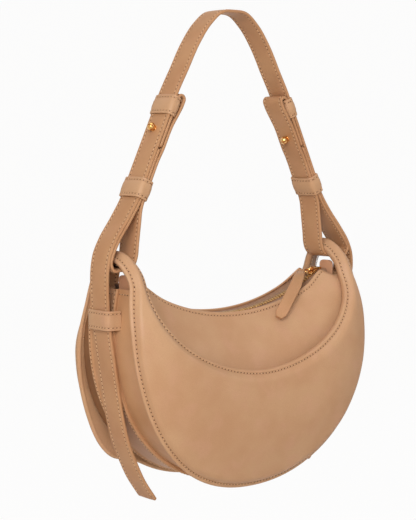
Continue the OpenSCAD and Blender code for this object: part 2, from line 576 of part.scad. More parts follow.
// Ball stud: base disc, shank, collar and ball with a slit, axis along the local Z
stud_shank_r = 1.5;
base_r = 4;
neck_r = 1.9;
neck_h = 0.7;
collar_t = 0.6;
slit_w = 0.8;
module stud(m, a, n0, n1, dir) color(gold) stud_place(m, a, n0) mirror([0, 0, dir < 0 ? 1 : 0]) {
    grip = abs(n1 - n0);
    translate([0, 0, -base_t - seam]) cylinder(h = base_t, r = base_r, $fn = fine);
    translate([0, 0, -base_t - seam]) cylinder(h = grip + base_t + 2 * seam, r = stud_shank_r, $fn = fine);
    translate([0, 0, grip + seam]) {
        cylinder(h = collar_t, r = base_r * 0.75, $fn = fine);
        cylinder(h = collar_t + neck_h + stud_r, r = neck_r, $fn = fine);
        translate([0, 0, collar_t + neck_h + stud_r * 0.9]) difference() {
            sphere(r = stud_r, $fn = fine);
            translate([-slit_w / 2, -2 * stud_r, stud_r * 0.15]) cube([slit_w, 4 * stud_r, 2 * stud_r]);
        }
    }
}
module outer_stud(m) stud(m, outer_stud_a, fold_n + strap_t / 2, -strap_t / 2, 1);
module inner_stud(m) stud(m, inner_stud_a, fold_n - strap_t / 2, leg_mid_n + strap_t / 2, -1);

hung() crescent_leather();  // front_crescent
hung() crescent_padding();  // front_padding
hung() crescent_backing();  // front_backing
hung() mirror([0, 1, 0]) crescent_leather();  // back_crescent
hung() mirror([0, 1, 0]) crescent_padding();  // back_padding
hung() mirror([0, 1, 0]) crescent_backing();  // back_backing
hung() mirror([1, 0, 0]) arch();  // left_arch
hung() arch();  // right_arch
hung() front_gusset_band();
hung() middle_gusset_band();
hung() back_gusset_band();
hung() pouch_panel();  // front_panel
hung() mirror([0, 1, 0]) pouch_panel();  // back_panel
hung() panel_lining();  // front_lining
hung() mirror([0, 1, 0]) panel_lining();  // back_lining
hung() gusset_lining();
hung() mirror([0, 1, 0]) slip_pocket();
hung() base_stiffener();
hung() mirror([0, 1, 0]) zip_tape();  // zip_tape_front
hung() zip_tape();  // zip_tape_back
hung() zip_teeth();  // zip_teeth_front
hung() mirror([0, 1, 0]) zip_teeth();  // zip_teeth_back
hung() zip_stops();
hung() zip_slider();
hung() pull_ring();
hung() leather_pull();
hung() mirror([1, 0, 0]) zip_end_tab();  // zip_end_tab_left
hung() zip_end_tab();  // zip_end_tab_right
hung() shoulder_strap();
hung() strap_tail(-1);  // strap_tail_left
hung() strap_tail(1);  // strap_tail_right
hung() loop_strap(-1);  // loop_strap_left
hung() loop_strap(1);  // loop_strap_right
hung() upper_keeper(-1);  // upper_keeper_left
hung() upper_keeper(1);  // upper_keeper_right
hung() lower_keeper(-1);  // lower_keeper_left
hung() lower_keeper(1);  // lower_keeper_right
hung() belt_loop(-1);  // belt_loop_left
hung() belt_loop(1);  // belt_loop_right
hung() outer_stud(-1);  // outer_stud_left
hung() outer_stud(1);  // outer_stud_right
hung() inner_stud(-1);  // inner_stud_left
hung() inner_stud(1);  // inner_stud_right
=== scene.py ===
"""Half moon shoulder bag in smooth tan leather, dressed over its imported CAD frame.

Sizes are in millimetres inside the form classes, as in the part's source, and
become metres of the shared frame where a mesh is made.
"""

import json
import logging
import math
from dataclasses import dataclass
from enum import Enum
from typing import Any, Callable, Sequence

import bpy
import numpy as np
from mathutils import Matrix, Vector

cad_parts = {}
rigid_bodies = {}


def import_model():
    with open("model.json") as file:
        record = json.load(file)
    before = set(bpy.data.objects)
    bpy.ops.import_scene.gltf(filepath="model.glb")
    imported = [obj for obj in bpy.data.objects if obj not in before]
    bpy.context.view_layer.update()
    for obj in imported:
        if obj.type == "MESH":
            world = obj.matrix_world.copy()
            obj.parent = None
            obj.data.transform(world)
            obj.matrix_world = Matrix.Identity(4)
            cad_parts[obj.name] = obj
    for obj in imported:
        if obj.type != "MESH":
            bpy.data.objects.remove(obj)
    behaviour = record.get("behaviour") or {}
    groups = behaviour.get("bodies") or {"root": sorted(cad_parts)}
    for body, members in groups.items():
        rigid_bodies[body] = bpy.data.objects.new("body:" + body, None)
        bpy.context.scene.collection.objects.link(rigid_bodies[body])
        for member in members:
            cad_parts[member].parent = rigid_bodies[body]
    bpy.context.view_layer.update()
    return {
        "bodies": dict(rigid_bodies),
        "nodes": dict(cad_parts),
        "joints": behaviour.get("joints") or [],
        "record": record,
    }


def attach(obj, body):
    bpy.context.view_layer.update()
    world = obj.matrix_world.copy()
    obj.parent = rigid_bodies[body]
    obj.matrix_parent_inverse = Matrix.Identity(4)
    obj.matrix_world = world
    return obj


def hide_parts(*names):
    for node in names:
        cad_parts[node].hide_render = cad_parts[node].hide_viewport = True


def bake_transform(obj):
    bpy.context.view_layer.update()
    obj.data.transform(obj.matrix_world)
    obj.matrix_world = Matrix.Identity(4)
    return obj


LOG = logging.getLogger("half_moon_bag")
MM = 0.001
Grid = np.ndarray
Table = Sequence[tuple[float, float]]
Line = Callable[[Grid], Grid]
Piece = bpy.types.Object
Finish = bpy.types.Material
Y_AXIS = np.array([0.0, 1.0, 0.0])
ENDS = np.array([0.0, 1.0])


class Word(Enum):
    """A choice whose name is a part of the CAD nodes' names."""

    @property
    def word(self) -> str:
        """The name as the CAD nodes write it."""
        return self.name.lower()


class Side(Word):
    """A side of the bag, seen from the front."""

    LEFT = -1
    RIGHT = 1


class Face(Word):
    """A face of the bag: the front one looks along -Y."""

    FRONT = -1
    BACK = 1


class Body(Enum):
    """The CAD bodies that pieces ride on."""

    STRAP = "strap"
    BAG = "bag"
    KEEPER_LEFT = "lower_keeper_left"
    KEEPER_RIGHT = "lower_keeper_right"
    SLIDER = "slider"
    RING = "ring"
    PULL = "pull"


class Slot(Enum):
    """Material slots of the record."""

    LEATHER = "tan_leather"
    CLOTH = "lining_cloth"
    TAPE = "zip_tape"
    GOLD = "gold"


def unit(v: Grid) -> Grid:
    """Vectors of length one along the last axis."""
    return v / np.maximum(np.linalg.norm(v, axis=-1, keepdims=True), 1e-12)


def mix(a: Any, b: Any, t: Any) -> Any:
    """Straight mix of two values."""
    return a + (b - a) * t


def ease(x: Any) -> Any:
    """Smooth step from 0 to 1, clipped at both ends."""
    x = np.clip(x, 0.0, 1.0)
    return x * x * (3 - 2 * x)


def dent(x: Any, width: float) -> Any:
    """Bell of height 1 round zero."""
    return np.exp(-((np.asarray(x) / width) ** 2))


def hermite(t: float, h: float, a: Any, b: Any, slope_a: Any, slope_b: Any) -> Any:
    """Smooth curve between two values a run h apart, at a share t of it."""
    return ((2 * t**3 - 3 * t**2 + 1) * a + (t**3 - 2 * t**2 + t) * h * slope_a
            + (3 * t**2 - 2 * t**3) * b + (t**3 - t**2) * h * slope_b)


def soft_lookup(table: Table, x: float) -> float:
    """Value of a table at a place held to its ends, with a smooth curve through its rows.

    Args:
        table: Rows of place and value, by place.
        x: The place.

    Returns:
        The value there.
    """
    xs, ys = np.array(table, float).T
    slopes = np.gradient(ys, xs)
    x = float(np.clip(x, xs[0], xs[-1]))
    i = int(np.clip(np.searchsorted(xs, x) - 1, 0, len(xs) - 2))
    h = xs[i + 1] - xs[i]
    return float(hermite((x - xs[i]) / h, h, ys[i], ys[i + 1], slopes[i], slopes[i + 1]))


def smooth_curve(points: Sequence[Sequence[float]], step: float) -> Grid:
    """Points about a step apart on a smooth curve through the given ones.

    Args:
        points: Points that the curve goes through.
        step: Distance between the new ones.

    Returns:
        The points on the curve.
    """
    p = np.array(points, float)
    ahead = np.diff(p, axis=0)
    gaps = np.linalg.norm(ahead, axis=1)
    slopes = [ahead[0] / gaps[0]]
    for i, (a, b) in enumerate(zip(gaps, gaps[1:])):
        slopes.append((b * ahead[i] / a + a * ahead[i + 1] / b) / (a + b))
    slopes.append(ahead[-1] / gaps[-1])
    fine = [hermite(t, h, p[i], p[i + 1], slopes[i], slopes[i + 1])
            for i, h in enumerate(gaps) for t in np.arange(16) / 16]
    return evenly(np.array([*fine, p[-1]]), step)


def run_along(points: Grid) -> Grid:
    """Distance along a line of points, from its first one."""
    return np.concatenate([[0.0], np.cumsum(np.linalg.norm(np.diff(points, axis=0), axis=1))])


def evenly(points: Grid, step: float) -> Grid:
    """Points about a step apart along a line of points."""
    run = run_along(points)
    at = np.linspace(0, run[-1], max(2, int(round(run[-1] / step)) + 1))
    return np.stack([np.interp(at, run, points[:, k]) for k in range(points.shape[1])], axis=1)


def slopes_of(points: Grid, closed: bool = False) -> Grid:
    """Unit direction of a line of points at each of them."""
    if closed:
        return unit(np.roll(points, -1, axis=0) - np.roll(points, 1, axis=0))
    return unit(np.gradient(points, axis=0))


def turned(v: Grid) -> Grid:
    """Plane vectors turned a quarter turn to the left."""
    return unit(np.stack([-v[..., 1], v[..., 0]], axis=-1))


def upright(flat: Grid, side: float = 1.0, y: float = 0.0) -> Grid:
    """Plane points drawn on the right, as points in X and Z on a side of the bag."""
    return np.stack([flat[..., 0] * side, np.full(flat.shape[:-1], y), flat[..., 1]], axis=-1)


def level(flat: Grid, side: float = 1.0, z: float = 0.0) -> Grid:
    """Plane points drawn on the right, as points in X and Y on a side of the bag."""
    return upright(flat, side, z)[..., [0, 2, 1]]


def lifted(line: Grid, side: float = 1.0, y: float = 0.0, turn: float = 1.0) -> tuple[Grid, Grid]:
    """A plane line put upright on a side of the bag, and its outward direction."""
    return upright(line, side, y), upright(turn * turned(slopes_of(line)), side)


def ringed(grid: Grid, axis: int = 0) -> Grid:
    """Points with their first row or column again at the end."""
    return np.concatenate([grid, np.take(grid, [0], axis=axis)], axis=axis)


@dataclass
class BagForm:
    """Curves of the bag's body, in millimetres above the lowest rim point."""

    width: float = 259.0
    height: float = 204.0
    half_depth: float = 43.0
    horn_taper: float = 4.5
    horn_width: float = 18.0
    overhang: float = 6.5
    swell: float = 10.0
    horn_puff: float = 0.2
    leather: float = 2.0
    pad: float = 3.0
    gusset: float = 1.8
    air: float = 0.15
    half_gap: float = 14.0
    belly: float = 21.5
    rise: float = 27.5
    zip_drop: float = 3.0
    hang: float = 399.996
    widest_share: float = 0.84
    lip_full_share: float = 0.96
    shoulder: float = 0.91
    rim_depths: Table = ((0, 0.84), (0.07, 0.9), (0.18, 0.98), (0.29, 1), (0.44, 0.98), (0.56, 0.92),
                         (0.69, 0.84), (0.8, 0.735), (0.8725, 0.688))
    lip_depths: Table = ((0.5, 1.24), (0.59, 1.2), (0.68, 1.1), (0.775, 0.94), (0.83, 0.81), (0.8725, 0.688))

    def __post_init__(self) -> None:
        """Works out the sizes that follow from the others."""
        # Whole thickness of a crescent: two leathers and the padding.
        self.shell: float = 2 * self.leather + self.pad
        # Height at which the crescents end and the arches begin.
        self.horn_h: float = 0.8725 * self.height
        # Height of the centre of the inner edge's curve and of the arches.
        self.centre_h: float = 0.833 * self.height
        # Half width between the inner edges at the horns.
        self.lip_half: float = self.width / 2 - self.horn_taper - self.horn_width
        # Half length of the pouch's top edge.
        self.pouch_half: float = self.width / 2 - self.horn_taper - 13
        # Radius of the pouch's top edge.
        self.arc_r: float = ((self.shoulder * self.pouch_half) ** 2 + self.rise**2) / (2 * self.rise)
        # Height of the centre of the pouch's top edge.
        self.arc_h: float = 0.7255 * self.height + self.arc_r
        # Radius of the zip.
        self.zip_r: float = self.arc_r + self.zip_drop

    def rim(self, s: float) -> Grid:
        """Rim point in X and Z, for a share of its run from -1 to 1.

        Args:
            s: The share.

        Returns:
            The point.
        """
        q, widest = abs(s), 0.686 * self.height
        if q < self.widest_share:
            a = math.pi / 2 * q / self.widest_share
            x = self.width / 2 * math.sin(a) ** (2 / 2.15)
            z = widest * (1 - max(0.0, math.cos(a)) ** (2 / 2.15))
        else:
            k = (q - self.widest_share) / (1 - self.widest_share)
            x, z = self.width / 2 - self.horn_taper * k * k, mix(widest, self.horn_h, k)
        return np.array([math.copysign(x, s), z])

    def lip(self, s: float) -> Grid:
        """Inner edge point in X and Z, for a share of its run from -1 to 1.

        Args:
            s: The share.

        Returns:
            The point.
        """
        q = abs(s)
        a = math.pi / 2 * min(1.0, q / self.lip_full_share) ** 1.1
        x = self.lip_half * math.sin(a) ** (2 / 1.85)
        low = 0.505 * self.height
        if q < self.lip_full_share:
            z = self.centre_h - (self.centre_h - low) * max(0.0, math.cos(a)) ** (2 / 1.85)
        else:
            z = mix(self.centre_h, self.horn_h, (q - self.lip_full_share) / (1 - self.lip_full_share))
        return np.array([math.copysign(x, s), z])

    def band_width(self, s: float) -> float:
        """Distance from the rim to the inner edge."""
        return float(np.linalg.norm(self.rim(s) - self.lip(s)))

    def face_depth(self, s: float, v: Any) -> Any:
        """Distance of a crescent's face from the middle plane, v from 0 at the rim to 1."""
        rim = self.half_depth * soft_lookup(self.rim_depths, self.rim(s)[1] / self.height)
        lip = self.half_depth * soft_lookup(self.lip_depths, self.lip(s)[1] / self.height)
        return mix(rim, lip, v) + 4 * self.swell * mix(1, self.horn_puff, s * s) * v * (1 - v)

    def face_points(self, s: float, v: Grid, face: Face) -> Grid:
        """Points across a crescent's face."""
        p = mix(self.rim(s)[None, :], self.lip(s)[None, :], v[:, None])
        return np.stack([p[:, 0], face.value * self.face_depth(s, v), p[:, 1]], axis=1)

    def arch_points(self, angle: float, v: Grid, side: Side) -> Grid:
        """Points across an arch, at an angle from the front in radians.

        Args:
            angle: The angle.
            v: Shares of the width.
            side: Which arch.

        Returns:
            The points.
        """
        ry = 0.71 * self.half_depth
        rz = self.height - self.centre_h
        puff = 4 * self.swell * self.horn_puff * v * (1 - v)
        x = side.value * mix(self.lip_half + self.horn_width, self.lip_half, v)
        y, z = -(ry + puff) * math.cos(angle), self.centre_h + (rz + puff) * math.sin(angle)
        return np.stack([x, y, z], axis=1)

    def rear_depth(self, s: float, d: float) -> float:
        """Distance of a crescent's rear from the middle plane, d from the rim."""
        v = d / self.band_width(s)
        return float(self.face_depth(s, v)) - self.leather - self.pad * min(1.0, v / 0.12) - self.leather

    def inset(self, s: float, d: float) -> Grid:
        """Point in X and Z, a distance in from the rim towards the inner edge."""
        return mix(self.rim(s), self.lip(s), d / self.band_width(s))

    def top_edge(self, s: float) -> Grid:
        """Point of the pouch's top edge in X and Z."""
        q, x0 = abs(s), self.shoulder * self.pouch_half
        x = self.pouch_half * q
        over = max(0.0, (q - self.shoulder) / (1 - self.shoulder))
        z = self.arc_h - math.sqrt(self.arc_r**2 - min(x, x0) ** 2) - 5 * over * over
        return np.array([math.copysign(x, s), z])

    def panel_points(self, s: float, w: Grid, depth: float = 0.0) -> Grid:
        """Points up a front pouch panel, w from 0 at the gusset to 1 at the top edge.

        Args:
            s: Share of the rim's run.
            w: Shares of the panel's height.
            depth: Depth under the panel's face.

        Returns:
            The points.
        """
        sewn = self.overhang + self.gusset + self.air
        b, t = self.inset(s, sewn), self.top_edge(s)
        p = mix(b[None, :], t[None, :], w[:, None])
        y = mix(self.rear_depth(s, sewn) - 0.6, mix(self.half_gap, self.half_gap + 3, s * s), w)
        y = y + self.belly * (1 - s * s) * np.sin(np.pi * w)
        return np.stack([p[:, 0], depth - y, p[:, 1]], axis=1)

    def on_arc(self, degrees: float, points: Grid) -> Grid:
        """Points given round a place on the zip, turned to where it is."""
        a = math.radians(degrees)
        x, z = points[..., 0], points[..., 2] - self.zip_r
        return np.stack([x * math.cos(a) - z * math.sin(a), points[..., 1],
                         self.arc_h + x * math.sin(a) + z * math.cos(a)], axis=-1)

    def placed(self, points: Grid) -> Grid:
        """Points of the form in metres of the shared frame."""
        out = np.array(points, float)
        out[..., 2] -= self.hang
        return out * MM


@dataclass
class StrapForm:
    """Centre lines of the strap and of the loop straps, in millimetres as BagForm."""

    bag: BagForm
    width: float = 24.0
    thick: float = 2.4
    slant: float = 25.3
    rise: float = 155.4
    crown: float = 0.4414
    flare: float = 10.0
    keeper_wall: float = 1.4
    keeper_run: float = 17.0
    keeper_start: float = 2.0
    swing_share: float = 0.9167
    stud_gap: float = 0.95
    end_gap: float = 0.8
    bight_r: float = 3.25
    bight_turns: Sequence[float] = (-55, 0, 55)
    leg_top: Table = ((0.05, 1), (0.1, 0.91), (0.15, 0.68), (0.2, 0.43), (0.26, 0.15), (0.33, 0), (0.41, 0))
    leg_low: Table = ((0.48, 0), (0.595, 1), (0.78, 1), (0.895, 1))
    lower: Table = ((0.867, 1.132), (0.961, 1.048), (1.006, 0.99), (1.024, 0.93), (1.027, 0.87),
                    (1.023, 0.785), (1.005, 0.672), (0.981, 0.574), (0.949, 0.453), (0.911, 0.325),
                    (0.868, 0.228), (0.818, 0.155), (0.757, 0.078), (0.656, -0.015))
    inner_leg: Table = ((0.766, 1.167), (0.777, 1.118), (0.788, 1.065), (0.797, 1.02), (0.803, 0.985),
                        (0.82, 0.955), (0.85, 0.935), (0.885, 0.928), (0.925, 0.93))
    right_tip: Table = ((0.757, 0.085), (0.69, 0.03))
    crown_run: Table = ((0.2, 0.985), (0.41, 0.847), (0.62, 0.607), (0.82, 0.29))

    def __post_init__(self) -> None:
        """Works out the sizes that follow from the others."""
        # Lower end of the right arm.
        self.foot: Grid = np.array([0.7977 * self.bag.width / 2, 1.199 * self.bag.height])
        slant = math.radians(self.slant)
        # Direction down the right arm.
        self.down: Grid = np.array([math.sin(slant), -math.cos(slant)])
        # Direction from the right arm towards the middle.
        self.inward: Grid = np.array([-math.cos(slant), -math.sin(slant)])
        # Length of an arm's straight run.
        self.length: float = (1 - self.crown) * self.rise / math.cos(slant)
        # Height of the axis about which the bag swings.
        self.swing_h: float = self.swing_share * self.bag.height
        # Middle of the folded end's layer, inward from the arm's middle.
        self.fold_n: float = self.thick + 0.7
        # Middle of the inner leg's layer at the studs, over their base discs.
        self.leg_n: float = self.fold_n + self.thick + self.stud_gap
        # Middle of the outer leg's layer.
        self.outer_n: float = self.thick + 0.15
        # Middle of the inner leg's layer inside the lower keeper.
        self.low_n: float = self.outer_n + self.thick + 0.6

    def arm(self, a: float, n: float = 0.0) -> Grid:
        """Point of the right arm, a down it and n inward."""
        return self.foot + (a - self.length) * self.down + n * self.inward

    def lower_points(self, side: Side) -> list[Grid]:
        """Points of the lower run of the strap on a side, drawn on the right.

        Args:
            side: The side.

        Returns:
            The points, from the keepers down.
        """
        flare = 0.0 if side is Side.LEFT else self.flare
        out = [self.arm(self.length - self.width), self.foot]
        table = self.lower if side is Side.LEFT else (*self.lower[:-2], *self.right_tip)
        for share_x, share_z in table:
            z = share_z * self.bag.height
            out.append(np.array([share_x * self.bag.width / 2 + flare * float(dent(z - 182, 30)), z]))
        return out

    def whole(self) -> Grid:
        """Centre line of the strap from the left tail over the crown to the right tail.

        Returns:
            Even points in X and Z.
        """
        mirror = np.array([-1.0, 1.0])
        top = self.arm(0)
        peak = self.bag.hang + self.thick / 2
        crown = [np.array([sx * top[0], mix(top[1], peak, sz)]) for sx, sz in self.crown_run]
        right = [np.array([0.0, peak]), *crown, top, self.arm(3)]
        left = [p * mirror for p in [self.arm(3), top, *reversed(crown)]]
        points = [p * mirror for p in reversed(self.lower_points(Side.LEFT))] + left + right
        return smooth_curve(points + self.lower_points(Side.RIGHT), 2.4)

    def loop(self, side: Side) -> Grid:
        """Centre line of a loop strap, drawn on the right.

        Args:
            side: The side.

        Returns:
            Even points in X and Z, from the folded end round to the other end.
        """
        a, r, start = self.length, self.bight_r, self.keeper_start
        fold_end = 0.49 * a
        run = smooth_curve(self.lower_points(side), 1.0)
        up = run[::-1]
        up = up[up[:, 1] > self.swing_h + 8]
        outer = up + self.outer_n * turned(slopes_of(up))
        points = [self.arm(k, self.fold_n) for k in (fold_end, 0.31 * a, 0.16 * a, start + r)]
        points += [self.arm(start - r * math.cos(t), self.fold_n + r * (1 + math.sin(t)))
                   for t in np.radians(self.bight_turns)]
        points += [self.arm(k * a, mix(self.leg_n, self.fold_n + 2 * r, t)) for k, t in self.leg_top]
        points += [self.arm(k * a, mix(self.leg_n, self.low_n, t)) for k, t in self.leg_low]
        points += [self.arm(a - 3, self.low_n + 0.15)]
        points += [np.array([sx * self.bag.width / 2, sz * self.bag.height]) for sx, sz in self.inner_leg]
        points += [np.array([outer[0][0] - 3.2, self.swing_h + 2.2])]
        points += [outer[i] for i in range(0, len(outer) - 6, 6)]
        points += [self.arm(k, self.outer_n) for k in (a - self.width - 3, fold_end + self.end_gap)]
        return smooth_curve(points, 1.4)


class Bench:
    """Modelling steps that the pieces share, made with Blender's own operators."""

    merge = 2e-6

    @staticmethod
    def clear() -> None:
        """Leaves nothing selected, so the next operator acts on one piece only."""
        if bpy.context.mode != "OBJECT":
            bpy.ops.object.mode_set(mode="OBJECT")
        bpy.ops.object.select_all(action="DESELECT")

    @staticmethod
    def scaled(extent: Sequence[float]) -> None:
        """Scales the active piece by a size in millimetres along each axis."""
        bpy.ops.transform.resize(value=tuple(v * MM for v in extent))
        bpy.ops.object.transform_apply(location=True, rotation=True, scale=True)

    @classmethod
    def primitive(cls, kind: str, name: str, extent: Sequence[float] = (1 / MM,) * 3,
                  **settings: Any) -> Piece:
        """Adds one of Blender's own shapes.

        Args:
            kind: Its operator's name, between primitive_ and _add.
            name: Name of the piece.
            extent: Scale along each axis, in millimetres for a shape of size one.
            **settings: The operator's settings.

        Returns:
            The piece.
        """
        cls.clear()
        getattr(bpy.ops.mesh, f"primitive_{kind}_add")(**settings)
        obj = cls.named(name)
        cls.scaled(extent)
        return obj

    @classmethod
    def edit(cls, obj: Piece, step: Callable[..., Any], **settings: Any) -> None:
        """Runs an edit mode operator on the whole of a piece.

        Args:
            obj: The piece.
            step: The operator.
            **settings: Its settings.
        """
        cls.pick(obj)
        bpy.ops.object.mode_set(mode="EDIT")
        bpy.ops.mesh.select_all(action="SELECT")
        step(**settings)
        bpy.ops.object.mode_set(mode="OBJECT")

    @classmethod
    def pick(cls, *objs: Piece) -> None:
        """Selects pieces and makes the first one active."""
        cls.clear()
        for obj in objs:
            obj.select_set(True)
        bpy.context.view_layer.objects.active = objs[0]

    @classmethod
    def named(cls, name: str) -> Piece:
        """Names the piece that an operator has just added."""
        obj = bpy.context.active_object
        obj.name = obj.data.name = name
        return obj

    @classmethod
    def apply(cls, obj: Piece, kind: str, **settings: Any) -> None:
        """Adds a modifier to a piece and applies it.

        Args:
            obj: The piece.
            kind: The modifier's type.
            **settings: Its settings.
        """
        cls.pick(obj)
        modifier = obj.modifiers.new(kind.lower(), kind)
        for key, value in settings.items():
            setattr(modifier, key, value)
        bpy.ops.object.modifier_apply(modifier=modifier.name)

    @classmethod
    def skin(cls, name: str, grid: Grid, chart: Grid | None = None, caps: bool = False,
             painted: dict[int, int] | None = None, crease: float = 35.0) -> Piece:
        """A surface over a grid of points: a grid primitive, shaped, merged and smoothed.

        Args:
            name: Name of the piece.
            grid: Points in metres, rows by columns. Equal first and last rows or columns close it.
            chart: Two pattern coordinates for each point.
            caps: Whether open ends get closed.
            painted: Material places of the columns that don't take the first one.
            crease: Angle in degrees above which an edge stays sharp.

        Returns:
            The piece.
        """
        rows, cols = grid.shape[:2]
        obj = cls.primitive("grid", name, x_subdivisions=cols - 1, y_subdivisions=rows - 1, size=1.0)
        mesh = obj.data
        raw = np.empty(len(mesh.vertices) * 3)
        mesh.vertices.foreach_get("co", raw)
        raw = raw.reshape(-1, 3)
        i = np.rint((raw[:, 1] + 0.5) * (rows - 1)).astype(int)
        j = np.rint((raw[:, 0] + 0.5) * (cols - 1)).astype(int)
        if painted:
            columns = [min(j[v] for v in f.vertices) for f in mesh.polygons]
            mesh.polygons.foreach_set("material_index", [painted.get(int(k), 0) for k in columns])
        mesh.vertices.foreach_set("co", grid[i, j].ravel())
        if chart is not None:
            layer = mesh.uv_layers[0]
            layer.name = "seams"
            corner = np.empty(len(mesh.loops), int)
            mesh.loops.foreach_get("vertex_index", corner)
            layer.data.foreach_set("uv", chart[i[corner], j[corner]].ravel())
        cls.edit(obj, bpy.ops.mesh.remove_doubles, threshold=cls.merge)
        if caps:
            cls.edit(obj, bpy.ops.mesh.fill_holes, sides=0)
        cls.edit(obj, bpy.ops.mesh.normals_make_consistent, inside=False)
        cls.soften(obj, crease)
        return obj

    @classmethod
    def soften(cls, obj: Piece, degrees: float = 35.0) -> None:
        """Shades a piece smooth, but for edges sharper than an angle."""
        cls.pick(obj)
        bpy.ops.object.shade_smooth_by_angle(angle=math.radians(degrees))

    @classmethod
    def sweep(cls, name: str, path: Grid, out: Grid, section: Grid, form: BagForm, across: Grid = Y_AXIS,
              closed: bool = False, rows_at: Sequence[float] = (1e3,), painted: dict[int, int] | None = None,
              crease: float = 35.0) -> Piece:
        """A closed section carried along a path.

        Args:
            name: Name of the piece.
            path: Points of the path in millimetres.
            out: Outward direction at each point.
            section: Points across and out, one loop for the whole path or one for each point.
            form: Places the points in the shared frame.
            across: Width direction, one for all points or one for each.
            closed: Whether the path is a ring.
            rows_at: Places across of the sewn rows, for the pattern.
            painted: Material places of the sides that don't take the first one.
            crease: Angle in degrees above which an edge stays sharp.

        Returns:
            The piece.
        """
        across = np.broadcast_to(across, path.shape)
        section = np.broadcast_to(section, (len(path), *section.shape[-2:]))
        grid = path[:, None] + section[..., 0:1] * across[:, None] + section[..., 1:2] * out[:, None]
        near = np.abs(section[..., 0][..., None] - np.array(rows_at)).min(axis=-1)
        if closed:
            path, near, grid = ringed(path), ringed(near), ringed(grid)
        run = np.broadcast_to(run_along(path)[:, None], near.shape)
        chart = ringed(np.stack([run, near], axis=-1), 1) * MM
        return cls.skin(name, form.placed(ringed(grid, 1)), chart, not closed, painted, crease)

    @classmethod
    def repeat(cls, template: Piece, frames: Grid) -> Piece:
        """Copies a small piece to many places, as one piece with its own mesh.

        Args:
            template: The small piece, modelled round the origin.
            frames: Four by four matrices of the places, in metres.

        Returns:
            The piece with all the copies.
        """
        count = len(frames)
        size = len(template.data.vertices)
        cls.apply(template, "ARRAY", count=count, use_relative_offset=False, use_constant_offset=True,
                  constant_offset_displace=(0.0, 0.0, 0.0))
        co = np.empty(count * size * 3)
        template.data.vertices.foreach_get("co", co)
        co = co.reshape(count, size, 3)
        moved = np.einsum("nij,nkj->nki", frames[:, :3, :3], co) + frames[:, None, :3, 3]
        template.data.vertices.foreach_set("co", moved.ravel())
        template.data.update()
        return template

    @classmethod
    def joined(cls, name: str, *objs: Piece) -> Piece:
        """Joins pieces into one, which keeps their materials."""
        cls.pick(*objs)
        if len(objs) > 1:
            bpy.ops.object.join()
        return cls.named(name)

    @staticmethod
    def dress(obj: Piece, *materials: Finish) -> Piece:
        """Gives a piece its materials, one for each slot."""
        obj.data.materials.clear()
        for material in materials:
            obj.data.materials.append(material)
        return obj

    @classmethod
    def seat(cls, obj: Piece, body: Body = Body.BAG, slot: Slot = Slot.LEATHER,
             *nodes: str) -> Piece:
        """Puts a finished piece on its body, in place of CAD nodes.

        Args:
            obj: The piece.
            body: The body that it moves with.
            slot: Not used.
            *nodes: CAD nodes that it stands for.

        Returns:
            The piece.
        """
        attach(obj, body.value)
        if nodes:
            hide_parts(*nodes)
        return obj


def strap_section(width: float, thick: float, sewn: float = 2.9, groove: float = 0.22,
                  crown: float = 0.18) -> Grid:
    """Loop round a sewn strap: a slightly crowned face on both sides, with sewn grooves.

    Args:
        width: Width of the strap.
        thick: Its thickness.
        sewn: Distance of the sewn rows from the edges.
        groove: Depth of the grooves.
        crown: How much the middle of a face stands out.

    Returns:
        Points across and out, from one edge over the outer face and back.
    """
    h, w = thick / 2, width / 2
    half = [(-w, 0.0), (-w + 0.1, 0.45 * h), (-w + 0.35, 0.86 * h), (-w + 0.8, h),
            (-w + sewn - 0.9, h + 0.02), (-w + sewn, h - groove), (-w + sewn + 0.9, h + 0.03),
            (-w + sewn + 2.6, h + 0.55 * crown), (-w * 0.3, h + crown)]
    face = half + [(-a, b) for a, b in reversed(half)]
    return np.array(face + [(a, -b) for a, b in reversed(face[1:-1])])


def narrowed(section: Grid, shares: Grid) -> Grid:
    """One section for each of the given shares, with its width held to that share."""
    sections = np.repeat(section[None], len(shares), axis=0)
    sections[..., 0] *= shares[:, None]
    return sections


def plate_section(a0: float, a1: float, thick: float, sewn: Sequence[float] = (), rows: int = 5,
                  round_r: float = 0.55, bow: float = 0.0) -> Grid:
    """Loop round a plain leather strip whose outer face is at height zero.

    Args:
        a0: One edge across.
        a1: The other edge across.
        thick: Thickness of the strip.
        sewn: Distances of sewn rows from each edge.
        rows: Points between the edges.
        round_r: Rounding of the edges.
        bow: How much the middle sinks.

    Returns:
        Points across and out.
    """
    places = [0.0, 0.12 * round_r, 0.45 * round_r, round_r]
    for d in sewn:
        places += [d - 0.8, d, d + 0.8]
    start = places[-1] + 0.6
    inner = list(np.linspace(start, (a1 - a0) - start, rows))
    across = places + inner + [(a1 - a0) - p for p in reversed(places)]
    top = []
    for a in across:
        edge = min(a, (a1 - a0) - a)
        k = min(1.0, edge / round_r)
        h = -thick / 2 * (1 - math.sqrt(max(0.0, 1 - (1 - k) ** 2)))
        h -= sum(0.22 * float(dent(edge - d, 0.45)) for d in sewn)
        h -= bow * math.sin(math.pi * a / (a1 - a0)) ** 2
        top.append((a0 + a, h))
    under = [(a, -thick - (h if h > -thick / 2 else -thick - h) * 0.4) for a, h in top[2:-2]]
    return np.array(top + list(reversed(under)))


def round_section(radius: float, steps: int = 10) -> Grid:
    """Loop round a wire."""
    a = np.arange(steps) * 2 * np.pi / steps
    return np.stack([radius * np.cos(a), radius * np.sin(a)], axis=1)


